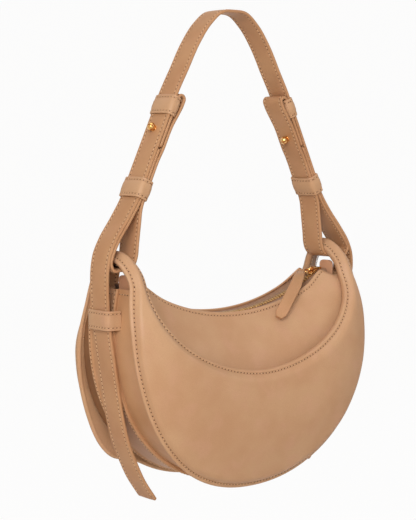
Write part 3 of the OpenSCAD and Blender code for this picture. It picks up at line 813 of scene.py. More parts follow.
def round_frame(half_a: float, half_b: float, radius: float, steps: int = 6, extra: int = 4) -> Grid:
    """Plane ring: a rectangle with round corners.

    Args:
        half_a: Half of its first side.
        half_b: Half of its second side.
        radius: Radius of its corners.
        steps: Points in a corner.
        extra: Points along a side.

    Returns:
        Points round it, counterclockwise.
    """
    arcs = []
    for sa, sb, start in ((1, -1, -90), (1, 1, 0), (-1, 1, 90), (-1, -1, 180)):
        a = np.radians(start + 90 * np.arange(steps + 1) / steps)
        arcs.append(np.stack([sa * (half_a - radius) + radius * np.cos(a),
                              sb * (half_b - radius) + radius * np.sin(a)], axis=1))
    shares = np.arange(1, extra + 1)[:, None] / (extra + 1)
    return np.concatenate([part for arc, after in zip(arcs, arcs[1:] + arcs[:1])
                           for part in (arc, mix(arc[-1:], after[:1], shares))])


@dataclass(frozen=True)
class SewnRow:
    """A row of stitches: points on the leather and the outward direction at each, in millimetres."""

    points: Grid
    out: Grid
    lift: float = 0.0


@dataclass
class Sewing:
    """Rows of real threads, with dark discs as painted shade in their needle holes."""

    thread: Finish
    hole: Finish
    form: BagForm
    pitch: float = 3.5
    thread_len: float = 2.7
    thread_r: float = 0.43
    hole_r: float = 0.5
    hole_deep: float = 0.4
    tilt: float = 7.0
    proud: float = 0.06
    sunk: float = 0.11
    aim: float = 0.4

    def places(self, row: SewnRow) -> tuple[Grid, Grid]:
        """Places of the threads and of the holes between them.

        Args:
            row: The row.

        Returns:
            Four by four matrices in metres for the threads, and for the holes.
        """
        run = run_along(row.points)
        count = max(1, int(run[-1] // self.pitch))
        start = (run[-1] - count * self.pitch) / 2

        def read(where: Grid, values: Grid) -> Grid:
            return np.stack([np.interp(where, run, values[:, k]) for k in range(3)], axis=1)

        def at(where: Grid) -> Grid:
            point, out = read(where, row.points), unit(read(where, row.out))
            along = unit(read(where + self.aim, row.points) - read(where - self.aim, row.points))
            out = unit(out - (out * along).sum(1, keepdims=True) * along)
            frames = np.zeros((len(where), 4, 4))
            frames[:, :3, 0] = along
            frames[:, :3, 1] = np.cross(out, along)
            frames[:, :3, 2] = out
            frames[:, :3, 3] = self.form.placed(point + out * row.lift)
            frames[:, 3, 3] = 1
            return frames

        index = np.arange(count)
        return at(start + (index + 0.5) * self.pitch), at(start + np.arange(count + 1) * self.pitch)

    def sew(self, name: str, rows: Sequence[SewnRow], scale: float = 1.0,
            body: Body | None = Body.BAG) -> Piece:
        """Sews rows of stitches as one piece.

        Args:
            name: Name of the piece.
            rows: The rows.
            scale: Size of the threads and holes.
            body: The body that it moves with, if it is seated here.

        Returns:
            The piece, with threads and holes.
        """
        pairs = [self.places(row) for row in rows]
        thread = Bench.primitive("uv_sphere", name, segments=6, ring_count=6, radius=1.0,
                                 rotation=(0, math.pi / 2, 0))
        Bench.scaled((self.thread_len / 2, self.thread_r * scale, self.thread_r * scale))
        Bench.dress(thread, self.thread)
        Bench.soften(thread, 80)
        turn = np.array(Matrix.Rotation(math.radians(self.tilt), 4, "Z"))
        turn[2, 3] = self.proud * MM
        Bench.repeat(thread, np.concatenate([p[0] for p in pairs]) @ turn)
        # Each needle hole is a dark sunk disc: painted shade inside the hole.
        hole = Bench.primitive("cylinder", name + "_holes", vertices=8, radius=self.hole_r * MM * scale,
                               depth=self.hole_deep * MM)
        Bench.dress(hole, self.hole)
        drop = np.eye(4)
        drop[2, 3] = -self.sunk * MM
        Bench.repeat(hole, np.concatenate([p[1] for p in pairs]) @ drop)
        sewn = Bench.joined(name, thread, hole)
        return Bench.seat(sewn, body) if body else sewn

    def band(self, node: str, path: Grid, out: Grid, across: Grid, plate: Sequence[float], scale: float,
             finishes: Sequence[Finish], body: Body = Body.BAG, **swept: Any) -> None:
        """A narrow leather band with a sewn row near both of its edges.

        Args:
            node: The CAD node that it stands for.
            path: Points of its outer face's middle.
            out: Outward directions.
            across: Its width direction.
            plate: Its width, its thickness, the rows' distance from the edges and how much it is crowned.
            scale: Size of the threads and holes.
            finishes: Its materials.
            body: The body that it moves with.
            **swept: What else the sweep takes.
        """
        width, thick, row, crown = plate
        sewn = (row - width / 2, width / 2 - row)
        band = Bench.sweep(node + "_leather", path, out, strap_section(width, thick, row, 0.2, crown),
                           self.form, across, rows_at=sewn, **swept)
        Bench.dress(band, *finishes)
        if swept.get("closed"):
            path, out = ringed(path), ringed(out)
        rows = [SewnRow(path + across * a + out * (thick / 2 - 0.18), out) for a in sewn]
        self.sew(node + "_stitches", rows, scale, body)
        Bench.seat(band, body, Slot.LEATHER, node)


def colour(hexed: str) -> tuple[float, float, float, float]:
    """Linear colour of a screen colour written as six hex digits."""
    raw = [int(hexed[k:k + 2], 16) / 255 for k in (0, 2, 4)]
    return (*[c / 12.92 if c <= 0.04045 else ((c + 0.055) / 1.055) ** 2.4 for c in raw], 1.0)


class Sock:
    """A node output that takes plain arithmetic."""

    def __init__(self, nodes: "Recipe", out: bpy.types.NodeSocket) -> None:
        """Keeps the output and the recipe that it belongs to."""
        self.nodes = nodes
        self.out = out

    def __add__(self, other: Any) -> "Sock":
        """Sum."""
        return self.nodes.maths("ADD", self, other)

    def __mul__(self, other: Any) -> "Sock":
        """Product."""
        return self.nodes.maths("MULTIPLY", self, other)


class Recipe:
    """The nodes of a material or a world, written as expressions."""

    def __init__(self, owner: Finish | bpy.types.World, output: str = "OutputMaterial") -> None:
        """Starts the nodes with their output."""
        self.owner = owner
        owner.use_nodes = True
        self.tree = owner.node_tree
        self.tree.nodes.clear()
        self.output = self.tree.nodes.new("ShaderNode" + output)

    @classmethod
    def of(cls, name: str) -> "Recipe":
        """Starts a new material."""
        return cls(bpy.data.materials.new(name))

    def node(self, kind: str, settings: dict[str, Any] | None = None,
             values: dict[str | int, Any] | None = None) -> bpy.types.Node:
        """Adds a node.

        Args:
            kind: Its type, without the ShaderNode prefix.
            settings: Its own settings, set first.
            values: Values or links of its sockets, by name or place.

        Returns:
            The node.
        """
        node = self.tree.nodes.new("ShaderNode" + kind)
        for key, value in (settings or {}).items():
            setattr(node, key, value)
        for key, value in (values or {}).items():
            socket = node.inputs[key]
            if isinstance(value, Sock):
                self.tree.links.new(value.out, socket)
            else:
                socket.default_value = value
        return node

    def get(self, kind: str, settings: dict[str, Any] | None = None,
            values: dict[str | int, Any] | None = None, port: str | int = 0) -> Sock:
        """Adds a node and gives one of its outputs."""
        return Sock(self, self.node(kind, settings, values).outputs[port])

    def maths(self, operation: str, a: Any, b: Any = 0.0) -> Sock:
        """A Math node on two values."""
        return self.get("Math", {"operation": operation}, {0: a, 1: b})

    def blend(self, factor: Any, a: Any, b: Any) -> Sock:
        """Mix of two colours."""
        return self.get("Mix", {"data_type": "RGBA"}, {0: factor, 6: a, 7: b}, 2)

    def place(self) -> Sock:
        """Object coordinates, in metres of the shared frame."""
        return self.get("TexCoord", port="Object")

    def noise(self, where: Sock, size_mm: float, detail: float = 3.0, rough: float = 0.55) -> Sock:
        """Noise from 0 to 1 whose spots are about that size."""
        values = {"Vector": where, "Scale": 1000.0 / size_mm, "Detail": detail, "Roughness": rough}
        return self.get("TexNoise", None, values)

    def ramp(self, value: Any, low: float, high: float, to_low: float = 0.0, to_high: float = 1.0) -> Sock:
        """Value mapped smoothly from one range to another, and held there."""
        values = {0: value, 1: low, 2: high, 3: to_low, 4: to_high}
        return self.get("MapRange", {"interpolation_type": "SMOOTHSTEP"}, values)

    def bump(self, height: Sock, size_mm: float, strength: float = 1.0, under: Sock | None = None) -> Sock:
        """Normal that follows a height from 0 to 1."""
        values = {"Strength": strength, "Distance": size_mm * MM, "Height": height}
        return self.get("Bump", None, values if under is None else {**values, "Normal": under})

    def surface(self, **sockets: Any) -> Finish:
        """Ends the material with a Principled surface.

        Args:
            **sockets: Its sockets' values or links, with _ for a space.

        Returns:
            The material.
        """
        shader = self.node("BsdfPrincipled", None, {k.replace("_", " "): v for k, v in sockets.items()})
        self.tree.links.new(shader.outputs[0], self.output.inputs[0])
        return self.owner

    def white_share(self, mirrored: float) -> Sock:
        """How much white a ray sees: all for the camera's, a share for mirrored ones."""
        rays = self.node("LightPath").outputs
        glossy = Sock(self, rays["Is Glossy Ray"]) * mirrored
        least = self.maths("MAXIMUM", glossy, Sock(self, rays["Is Transmission Ray"]))
        return self.maths("MAXIMUM", Sock(self, rays["Is Camera Ray"]), least)

    def mixed(self, factor: Sock, first: bpy.types.Node, second: bpy.types.Node) -> Any:
        """Ends the nodes with a mix of two shaders.

        Args:
            factor: Share of the second one.
            first: Shader for a factor of 0.
            second: Shader for a factor of 1.

        Returns:
            The material or the world.
        """
        both = self.node("MixShader", None,
                         {0: factor, 1: Sock(self, first.outputs[0]), 2: Sock(self, second.outputs[0])})
        self.tree.links.new(both.outputs[0], self.output.inputs[0])
        return self.owner


@dataclass(frozen=True)
class LeatherFinish:
    """Smooth full grain leather with a fine grain, soft marks, sewn grooves and painted shade along the sewn
    rows.
    """

    name: str
    base: str = "C89F7B"
    deep: str = "C29672"
    warm: str = "CB9D7F"
    # Dark tone of the grain's pores, also laid along the sewn rows as painted shade.
    groove: str = "9A6A47"
    rough: float = 0.45
    grain_mm: float = 0.75
    grain: float = 0.055

    def material(self) -> Finish:
        """The leather's material.

        Returns:
            The material.
        """
        r = Recipe.of(self.name)
        where = r.place()
        cloud = r.noise(where, 34, 2)
        tint = r.noise(where, 19, 2)
        fine = r.noise(where, self.grain_mm * 0.9, 4, 0.62)
        values = {"Vector": where, "Scale": 1000 / self.grain_mm}
        cells = r.get("TexVoronoi", {"feature": "SMOOTH_F1"}, values)
        chart = r.node("SeparateXYZ", None, {0: r.get("UVMap", {"uv_map": "seams"})})
        along, off = Sock(r, chart.outputs[0]), Sock(r, chart.outputs[1])
        # Mask of a thin strip along each sewn row: painted shade in its groove.
        near = r.ramp(off, 0.0002, 0.0012, 1.0, 0.0)
        fold = r.ramp(off, 0.0005, 0.0042, 1.0, 0.0)
        pucker = r.maths("COSINE", along * (2 * math.pi / 0.0035)) * fold
        tone = r.blend(r.ramp(cloud, 0.3, 0.7), colour(self.base), colour(self.deep))
        tone = r.blend(r.ramp(tint, 0.45, 0.75, 0.0, 0.55), tone, colour(self.warm))
        tone = r.blend(r.ramp(fine, 0.35, 0.62, 0.13, 0.0), tone, colour(self.groove))
        tone = r.blend(near * 0.42, tone, colour(self.groove))
        height = cells * 0.5 + fine * 0.5
        first = r.bump(r.noise(where, 14, 3), 0.9, 0.14)
        second = r.bump(pucker, 0.11, 0.35, first)
        skin = r.bump(height, self.grain, 0.6, second)
        gloss = r.ramp(fine + cloud * 0.5, 0.4, 1.0, self.rough - 0.05, self.rough + 0.07)
        return r.surface(Base_Color=tone, Roughness=gloss, Normal=skin, IOR=1.42, Specular_IOR_Level=0.34)


@dataclass(frozen=True)
class GrainFinish:
    """A finish whose colour and gloss follow one fine noise: a cut edge, a thread, board, or the painted
    shade of a needle hole or a seam.
    """

    name: str
    low: str
    high: str
    spot_mm: float = 2.2
    detail: float = 3.0
    rough: float = 0.55
    tone: tuple[float, float] = (0.35, 0.7)
    gloss: tuple[float, float, float, float] = (0.3, 0.8, 0.4, 0.56)
    bump: tuple[float, float] = (0.08, 0.5)

    def material(self) -> Finish:
        """The finish's material."""
        r = Recipe.of(self.name)
        spot = r.noise(r.place(), self.spot_mm, self.detail, self.rough)
        tone = r.blend(r.ramp(spot, *self.tone), colour(self.low), colour(self.high))
        gloss = r.ramp(spot, *self.gloss)
        return r.surface(Base_Color=tone, Roughness=gloss, Normal=r.bump(spot, *self.bump))


@dataclass(frozen=True)
class GoldFinish:
    """Polished gold plating with hair lines."""

    name: str = "gold_plate"
    base: str = "EFC182"
    deep: str = "CC934E"
    rough: float = 0.17

    def material(self) -> Finish:
        """The plating's material.

        Returns:
            The material.
        """
        r = Recipe.of(self.name)
        where = r.place()
        worn = r.noise(where, 3.5, 3)
        hair = r.noise(where, 0.35, 3, 0.7)
        tone = r.blend(r.ramp(worn, 0.3, 0.75), colour(self.base), colour(self.deep))
        gloss = r.ramp(hair + worn * 0.6, 0.5, 1.1, self.rough - 0.05, self.rough + 0.1)
        return r.surface(Base_Color=tone, Metallic=1.0, Roughness=gloss, Normal=r.bump(hair, 0.01, 0.35))


@dataclass(frozen=True)
class ClothFinish:
    """Woven cloth of fine threads."""

    name: str
    base: str = "B98E66"
    deep: str = "8A6443"
    pitch_mm: float = 0.55

    def material(self) -> Finish:
        """The cloth's material.

        Returns:
            The material.
        """
        r = Recipe.of(self.name)
        where = r.place()
        xyz = r.node("SeparateXYZ", None, {0: where})
        turn = 2 * math.pi / (self.pitch_mm * MM)
        warp = r.maths("SINE", (Sock(r, xyz.outputs[0]) + Sock(r, xyz.outputs[1])) * turn)
        weft = r.maths("SINE", (Sock(r, xyz.outputs[2]) + Sock(r, xyz.outputs[1]) * 0.5) * turn)
        weave = r.ramp(warp * weft, -1.0, 1.0)
        spot = r.noise(where, 6, 3)
        tone = r.blend(weave * 0.7 + spot * 0.3, colour(self.deep), colour(self.base))
        return r.surface(Base_Color=tone, Roughness=r.ramp(weave, 0.0, 1.0, 0.95, 0.8), Sheen_Weight=0.15,
                         Normal=r.bump(weave, 0.12, 0.7))


@dataclass(frozen=True)
class StudioFinish:
    """White paper of the floor and backdrop, which stays white to the camera but keeps the shadow."""

    name: str = "studio_paper"
    share: float = 0.96
    mirrored: float = 0.8

    def material(self) -> Finish:
        """The paper's material."""
        r = Recipe.of(self.name)
        tooth = r.noise(r.place(), 2.0, 3)
        paper = r.node("BsdfDiffuse", None, {0: r.blend(tooth, (0.8, 0.73, 0.64, 1), (0.84, 0.77, 0.68, 1))})
        glow = r.node("Emission", None, {0: (1, 1, 1, 1), 1: 1.0})
        return r.mixed(r.white_share(self.mirrored) * self.share, paper, glow)


class Finishes:
    """All finishes of the bag, each made once."""

    def __init__(self) -> None:
        """Makes the materials."""
        self.leather = LeatherFinish("tan_leather").material()
        self.strap = LeatherFinish("strap_leather", "C0926B", "B78761", "C2916E").material()
        self.band = LeatherFinish("gusset_leather", "C59770", "BC8C65", "C69470").material()
        # Darker backing leather, darkened further as painted shade for the crescents' hollow insides and the
        # back gap.
        self.backing = LeatherFinish("backing_leather", "8E6544", "7C5538", "8A5D3E", "5E3C26",
                                     0.6).material()
        self.tab = LeatherFinish("tab_leather", "CD9A78", "C48E6C", "D0A080", rough=0.55).material()
        self.edge = GrainFinish("painted_edge", "A5734E", "8E5F3E").material()
        self.rim = GrainFinish("rim_edge", "C2966F", "B3845D").material()
        # Dark seam edge paint, which also stands in as painted shadow in the grooves beside the middle band.
        self.seam = GrainFinish("seam_edge", "74492F", "553320").material()
        self.thread = GrainFinish("thread", "C49B73", "DAB58E", 0.5, 2, tone=(0.35, 0.65),
                                  gloss=(0.3, 0.7, 0.45, 0.62), bump=(0.06, 0.6)).material()
        # Dark needle holes: painted shade inside the holes.
        self.hole = GrainFinish("needle_hole", "5E3822", "452817", 0.6, 2, tone=(0.3, 0.7),
                                gloss=(0.3, 0.7, 0.8, 0.95), bump=(0.0, 0.0)).material()
        self.board = GrainFinish("stiffener_board", "5E4632", "80624A", 1.6, 5, 0.7, (0.3, 0.7),
                                 (0.2, 0.8, 0.7, 0.92), (0.15, 0.5)).material()
        self.gold = GoldFinish().material()
        self.brass = GoldFinish("zip_brass", "C8A06A", "A87E4A", 0.3).material()
        self.cloth = ClothFinish("lining_cloth").material()
        self.tape = ClothFinish("zip_tape", "B48660", "7E573A", 0.8).material()


@dataclass
class PaddedShell:
    """The two padded crescents and the arches that join their horns, one continuous skin."""

    form: BagForm
    finishes: Finishes
    sewing: Sewing
    steps: int = 60
    arch_steps: int = 22
    rim_row: float = 3.7
    lip_row: float = 3.4
    groove: float = 0.42
    puff: float = 3.3
    flare: float = 10.0
    right_flare: float = 4.0
    lean_rim: float = 2.5
    lean_lip: float = 10.5
    lean_side: float = 3.0
    lean_right: float = 4.0
    arch_drop: float = 4.5
    thinned: float = 0.28
    rim_col: int = 5
    lip_col: int = 25
    rear_col: int = 34
    probe: float = 0.004
    crease: float = 75.0

    def lean(self, points: Grid) -> Grid:
        """Share by which the back horns lean in, 0 away from them."""
        return ease((points[..., 2] - 118) / 45) * np.clip(points[..., 1] / 30, 0, 1)

    def leaned(self, points: Grid, v: Grid) -> Grid:
        """Points of a cross line, with the back horns leaning in towards the front.

        Args:
            points: The line's points.
            v: Their shares of the width.

        Returns:
            The new points.
        """
        share = self.lean(points)
        out = points.copy()
        left = float(points[0, 0] < 0)
        out[:, 0] += share * (self.lean_right + self.lean_side * ((1 - 2 * left) * (1 - v) + left * v))
        out[:, 2] -= self.arch_drop * ease((points[:, 2] - 172) / 28)
        out[:, 1] -= share * mix(self.lean_rim, self.lean_lip, v)
        return out

    def back_points(self, s: float, v: Grid) -> Grid:
        """Points across the back crescent, whose lower corners stand out.

        Args:
            s: Share of the rim's run.
            v: Shares of the width, from the rim.

        Returns:
            The points.
        """
        f = self.form
        points = f.face_points(s, v, Face.BACK)
        x, z = abs(f.rim(s)[0]), f.rim(s)[1]
        ahead = f.rim(min(1.0, s + 0.01)) - f.rim(max(-1.0, s - 0.01))
        away = unit(np.array([ahead[1], -ahead[0]]))
        most = self.flare if s < 0 else self.right_flare
        stand = most * float(dent(x - 92, 25) * ease((x - 64) / 24) * ease((150 - z) / 60))
        points[:, [0, 2]] += (stand * (1 - np.clip(v, 0, 1)) ** 1.3)[:, None] * away
        return self.leaned(points, v)

    def stations(self) -> list[tuple[Line, float]]:
        """Cross lines round the whole ring, each with its share of the rim's run, or 2 on an arch.

        Returns:
            A function of shares of the width and the horn share, for each line.
        """
        f = self.form
        run = [k / self.steps for k in range(-self.steps, self.steps + 1)]
        start = math.asin((f.horn_h - f.centre_h) / (f.height - f.centre_h))
        turns = [mix(start, math.pi - start, k / self.arch_steps) for k in range(1, self.arch_steps)]

        def arch(angles: Sequence[float], side: Side) -> list[tuple[Line, float]]:
            return [(lambda v, a=a: self.leaned(f.arch_points(a, v, side), v), 2.0) for a in angles]

        front = [(lambda v, s=s: f.face_points(s, v, Face.FRONT), abs(s)) for s in run]
        back = [(lambda v, s=s: self.back_points(s, v), abs(s)) for s in reversed(run)]
        return front + arch(turns, Side.RIGHT) + back + arch(turns[::-1], Side.LEFT)

    def section(self, width: float) -> tuple[Grid, Grid]:
        """Loop round the shell at a width.

        Args:
            width: Distance from the rim to the inner edge there.

        Returns:
            Distances from the rim, and depths under the face.
        """
        r, q, g = self.rim_row, width - self.lip_row, self.groove
        full = self.form.shell
        outer = [(0.12, 1.3), (0.45, 0.5), (1.1, 0.06), (r - 1.3, 0.0), (r - 0.55, 0.12), (r, g),
                 (r + 0.6, 0.08)]
        inner = [(q - 0.6, 0.08), (q, g), (q + 0.55, 0.14), (q + 1.4, 0.1), (width - 1.0, 0.55),
                 (width - 0.3, 1.5), (width, 2.9)]
        middle = []
        for k in range(17):
            d = mix(r + 1.4, q - 1.4, 0.5 - 0.5 * math.cos(math.pi * k / 16))
            near = min(d - r, q - d)
            full_puff = float(ease(near / 5.2)) * (1 - 0.35 * float(ease((near - 6) / 14)))
            middle.append((d, -self.puff * full_puff))
        lip = [(width, 4.3), (width - 0.35, 5.6), (width - 1.1, 6.6), (width - 2.4, full)]
        rear = [(mix(width - 5, 0.14 * width + 2, k / 7), full) for k in range(8)]
        back = [(max(4.4, 0.07 * width), 5.6), (2.6, 4.05), (1.1, 3.94), (0.45, 3.5), (0.12, 2.7)]
        points = np.array(outer + middle + inner + lip + rear + back)
        return points[:, 0], points[:, 1]

    def build(self) -> None:
        """Models the shell and its sewn rows."""
        stations = self.stations()
        widths = [float(np.linalg.norm(np.diff(line(ENDS), axis=0))) for line, _ in stations]
        marks = [self.section(w) for w in widths]
        cuts = list(zip(stations, marks, widths))
        base, before, after = (np.array([line(m[0] / w + nudge) for (line, _), m, w in cuts])
                               for nudge in (0.0, -self.probe, self.probe))
        out = unit(np.cross(np.roll(base, -1, axis=0) - np.roll(base, 1, axis=0), after - before))
        for _ in range(2):
            out = unit(np.roll(out, 1, axis=0) + 2 * out + np.roll(out, -1, axis=0))
        depth = np.array([m[1] for m in marks]) * (1 - self.thinned * self.lean(base))
        points = base - out * depth[..., None]
        dist, width = np.array([m[0] for m in marks]), np.array(widths)[:, None]
        off = np.minimum(np.abs(dist - self.rim_row), np.abs(width - dist - self.lip_row))
        rim_run, lip_run = (run_along(ringed(base)[:, col])[:, None] for col in (self.rim_col, self.lip_col))
        run = np.where(ringed(dist < width / 2), rim_run, lip_run)
        chart = ringed(np.stack([run, ringed(off)], axis=-1), 1) * MM
        count = points.shape[1]
        painted = {k: 1 for k in (0, count - 3, count - 2, count - 1)}
        # The shell's rear faces take the backing, whose dark tone is partly painted shade.
        painted |= {k: 2 for k in range(self.rear_col, count - 4)}
        grid = self.form.placed(ringed(ringed(points, 1)))
        shell = Bench.skin("padded_shell", grid, chart, painted=painted, crease=self.crease)
        Bench.apply(shell, "SUBSURF", levels=1, render_levels=1)
        Bench.soften(shell, self.crease)
        Bench.dress(shell, self.finishes.leather, self.finishes.rim, self.finishes.backing)
        rows = [SewnRow(ringed(points[:, col]), ringed(out[:, col]), 0.27)
                for col in (self.rim_col, self.lip_col)]
        self.sewing.sew("shell_stitches", rows + self.rear_rows(stations, widths, out))
        layers = [f"{face.word}_{layer}" for face in Face for layer in ("crescent", "padding", "backing")]
        Bench.seat(shell, Body.BAG, Slot.LEATHER, *layers, "left_arch", "right_arch")

    def rear_rows(self, stations: list[tuple[Line, float]], widths: list[float], out: Grid) -> list[SewnRow]:
        """Sewn rows on the shell's rear, where it is open to view.

        Args:
            stations: Cross lines round the ring.
            widths: Width of the shell at each.
            out: Outward directions.

        Returns:
            The rows over the arches and down the horns.
        """
        f, rows = self.form, []
        skipped, shown = int(self.steps * 0.55), int(self.steps * 0.45)
        for first in (self.steps + skipped, self.steps * 3 + self.arch_steps + skipped):
            picks = [(first + k) % len(stations) for k in range(2 * shown + self.arch_steps)]
            for at_rim in (True, False):
                line, normals = [], []
                for i in picks:
                    d = self.rim_row if at_rim else widths[i] - self.lip_row
                    v = d / widths[i]
                    deep = 4.0 if at_rim else f.shell
                    if at_rim and stations[i][1] > 0.8:
                        deep = 2 * f.leather + f.pad * min(1.0, v / 0.12)
                    place = stations[i][0](np.array([v]))[0]
                    away = out[i, self.rim_col if at_rim else self.lip_col]
                    line.append(place - away * deep * (1 - self.thinned * float(self.lean(place))))
                    normals.append(-away)
                rows.append(SewnRow(np.array(line), np.array(normals), 0.12))
        return rows


@dataclass
class Gusset:
    """Front, middle and back bands of the gusset, with the belt loops sewn on them."""

    form: BagForm
    straps: StrapForm
    finishes: Finishes
    sewing: Sewing
    steps: int = 90
    reach: float = 0.985
    front_edge: float = -9.0
    back_edge: float = 25.0
    lap: float = 3.0
    end_run: float = 4.2
    edge_row: float = 2.1
    loop_h: float = 150.0
    loop_tall: float = 16.0
    loop_wall: float = 1.6
    loop_row: float = 2.5
    turned_edge: Table = ((0.0, 0.1), (0.1, 0.62), (0.4, 0.92), (0.9, 1.0), (1.5, 0.98), (2.1, 0.78),
                          (2.7, 0.92), (3.2, 0.72), (3.7, 0.2), (4.4, 0.02), (6.5, 0.0))

    def path(self, inset: float) -> tuple[Grid, Grid]:
        """Line round the bag at an inset from the rims, and its outward direction."""
        shares = np.linspace(-self.reach, self.reach, 2 * self.steps + 1)
        return lifted(evenly(np.array([self.form.inset(s, inset) for s in shares]), 3.0), turn=-1.0)

    def share_at(self, point: Grid) -> float:
        """Share of the rim's run at a point of a path, from its height and side."""
        shares = np.linspace(0, 1, 121)
        rims = np.array([self.form.inset(s, self.form.overhang) for s in shares])
        return float(shares[int(np.argmin(np.hypot(rims[:, 0] - abs(point[0]), rims[:, 1] - point[2])))])

    def end_rows(self, path: Grid, out: Grid, spans: Sequence[Sequence[float]], count: int,
                 sink: float, lift: float = 0.0) -> list[SewnRow]:
        """Sewn rows across a band near both of its ends.

        Args:
            path: Points of the band.
            out: Outward directions.
            spans: Where the row starts and stops across, at either end.
            count: Points in a row.
            sink: Depth of the row under the path.
            lift: How far its threads stand out.

        Returns:
            The two rows.
        """
        rows = []
        for end, beside, span in zip((0, -1), (1, -2), spans):
            start = path[end] + self.end_run * unit(path[beside] - path[end]) - out[end] * sink
            line = start + np.linspace(*span, count)[:, None] * Y_AXIS
            rows.append(SewnRow(line, np.repeat(out[end][None], count, axis=0), lift))
        return rows

    def side_band(self, face: Face) -> None:
        """A front or back band, from a crescent to under the middle band, with its hems.

        Args:
            face: Which one.
        """
        f, front = self.form, face is Face.FRONT
        path, out = self.path(f.overhang)
        limit = self.front_edge + self.lap if front else self.back_edge - self.lap
        reaches = [face.value * (f.rear_depth(self.share_at(p), f.overhang) - 0.3) for p in path]
        sections = np.array([plate_section(*sorted((a, limit)), f.gusset, (4.1,), 7, 0.5, 0.5)
                             for a in reaches])
        # Columns of the sewn groove next to the middle band take the dark seam material: a painted shadow
        # line.
        groove = {14: 1, 15: 1} if front else {4: 1, 5: 1}
        band = Bench.sweep(f"{face.word}_band", path, out, sections, f, painted=groove)
        # The back band takes the backing, whose dark tone is painted shade in the gap behind the middle band.
        Bench.dress(band, self.finishes.band if front else self.finishes.backing, self.finishes.seam)
        spans = [(a + 1.5, self.front_edge - 0.5) if front else (self.back_edge + 0.5, a - 1.5)
                 for a in (reaches[0], reaches[-1])]
        self.sewing.sew(f"{face.word}_band_hem", self.end_rows(path, out, spans, 12, 0.1, 0.15), 0.9)
        Bench.seat(band, Body.BAG, Slot.LEATHER, f"{face.word}_gusset_band")

    def middle_band(self) -> None:
        """The wide middle band with its turned and sewn edges."""
        f = self.form
        path, out = self.path(f.overhang - f.gusset - f.air)
        a0, a1 = self.front_edge, self.back_edge
        outer = [(a0 + a, h) for a, h in self.turned_edge] + [(a0 + (a1 - a0) / 2, 0.0)]
        outer += [(a1 - a, h) for a, h in reversed(self.turned_edge)]
        inner = [(a, -f.gusset) for a in np.linspace(a1 - 0.4, a0 + 0.4, 9)]
        section = np.array([*outer, (a1, -f.gusset * 0.6), *inner, (a0, -f.gusset * 0.6)])
        top, last = len(outer), len(section)
        # The middle band's edge walls take the dark seam material: edge paint plus painted shadow of the
        # groove.
        walls_with_painted_shade = {k: 1 for k in (0, top - 2, top - 1, top, last - 2, last - 1)}
        sewn = (a0 + self.edge_row, a1 - self.edge_row)
        band = Bench.sweep("middle_band", path, out, section, f, rows_at=sewn, painted=walls_with_painted_shade)
        Bench.dress(band, self.finishes.band, self.finishes.seam)
        rows = [SewnRow(path + a * Y_AXIS + out * 0.85, out, 0.1) for a in sewn]
        rows += self.end_rows(path, out, [(a0 + 5, a1 - 5)] * 2, 16, 0.02)
        self.sewing.sew("middle_band_stitches", rows, 0.85)
        Bench.seat(band, Body.BAG, Slot.LEATHER, "middle_gusset_band")

    def belt_loop(self, side: Side) -> None:
        """A sewn leather loop on the gusset, round the tail on a side.

        Args:
            side: Which side.
        """
        f, wall, clear = self.form, self.loop_wall, 0.6
        strap = smooth_curve(self.straps.lower_points(side), 1.0)
        near = strap[np.abs(strap[:, 1] - self.loop_h) < self.loop_tall / 2]
        reach = near[:, 0].max() + self.straps.thick / 2 + clear + wall / 2
        seat = f.width / 2 - (f.overhang - f.gusset - f.air) + 1.0 + f.air + wall / 2
        y = self.straps.width / 2 + clear
        plan = [(seat - 3.4, -y - 2.4), (seat - 1.6, -y - 2.2), (seat, -y - 1.9),
                (mix(seat, reach, 0.55), -y - 1.3), (reach - 0.9, -y - 0.1), (reach - 0.1, -y + 2.0),
                (reach + 0.25, -y + 6), (reach + 0.35, 0)]
        line = smooth_curve(plan + [(x, -v) for x, v in reversed(plan[:-1])], 0.9)
        path = level(line, side.value, self.loop_h)
        out = level(-turned(slopes_of(line)), side.value)
        self.sewing.band(f"belt_loop_{side.word}", path, out, np.array([0.0, 0.0, 1.0]),
                         (self.loop_tall, wall, self.loop_row, 0.15), 0.9,
                         (self.finishes.leather, self.finishes.edge), crease=50)

    def build(self) -> None:
        """Models all bands and belt loops."""
        for face in Face:
            self.side_band(face)
        self.middle_band()
        for side in Side:
            self.belt_loop(side)


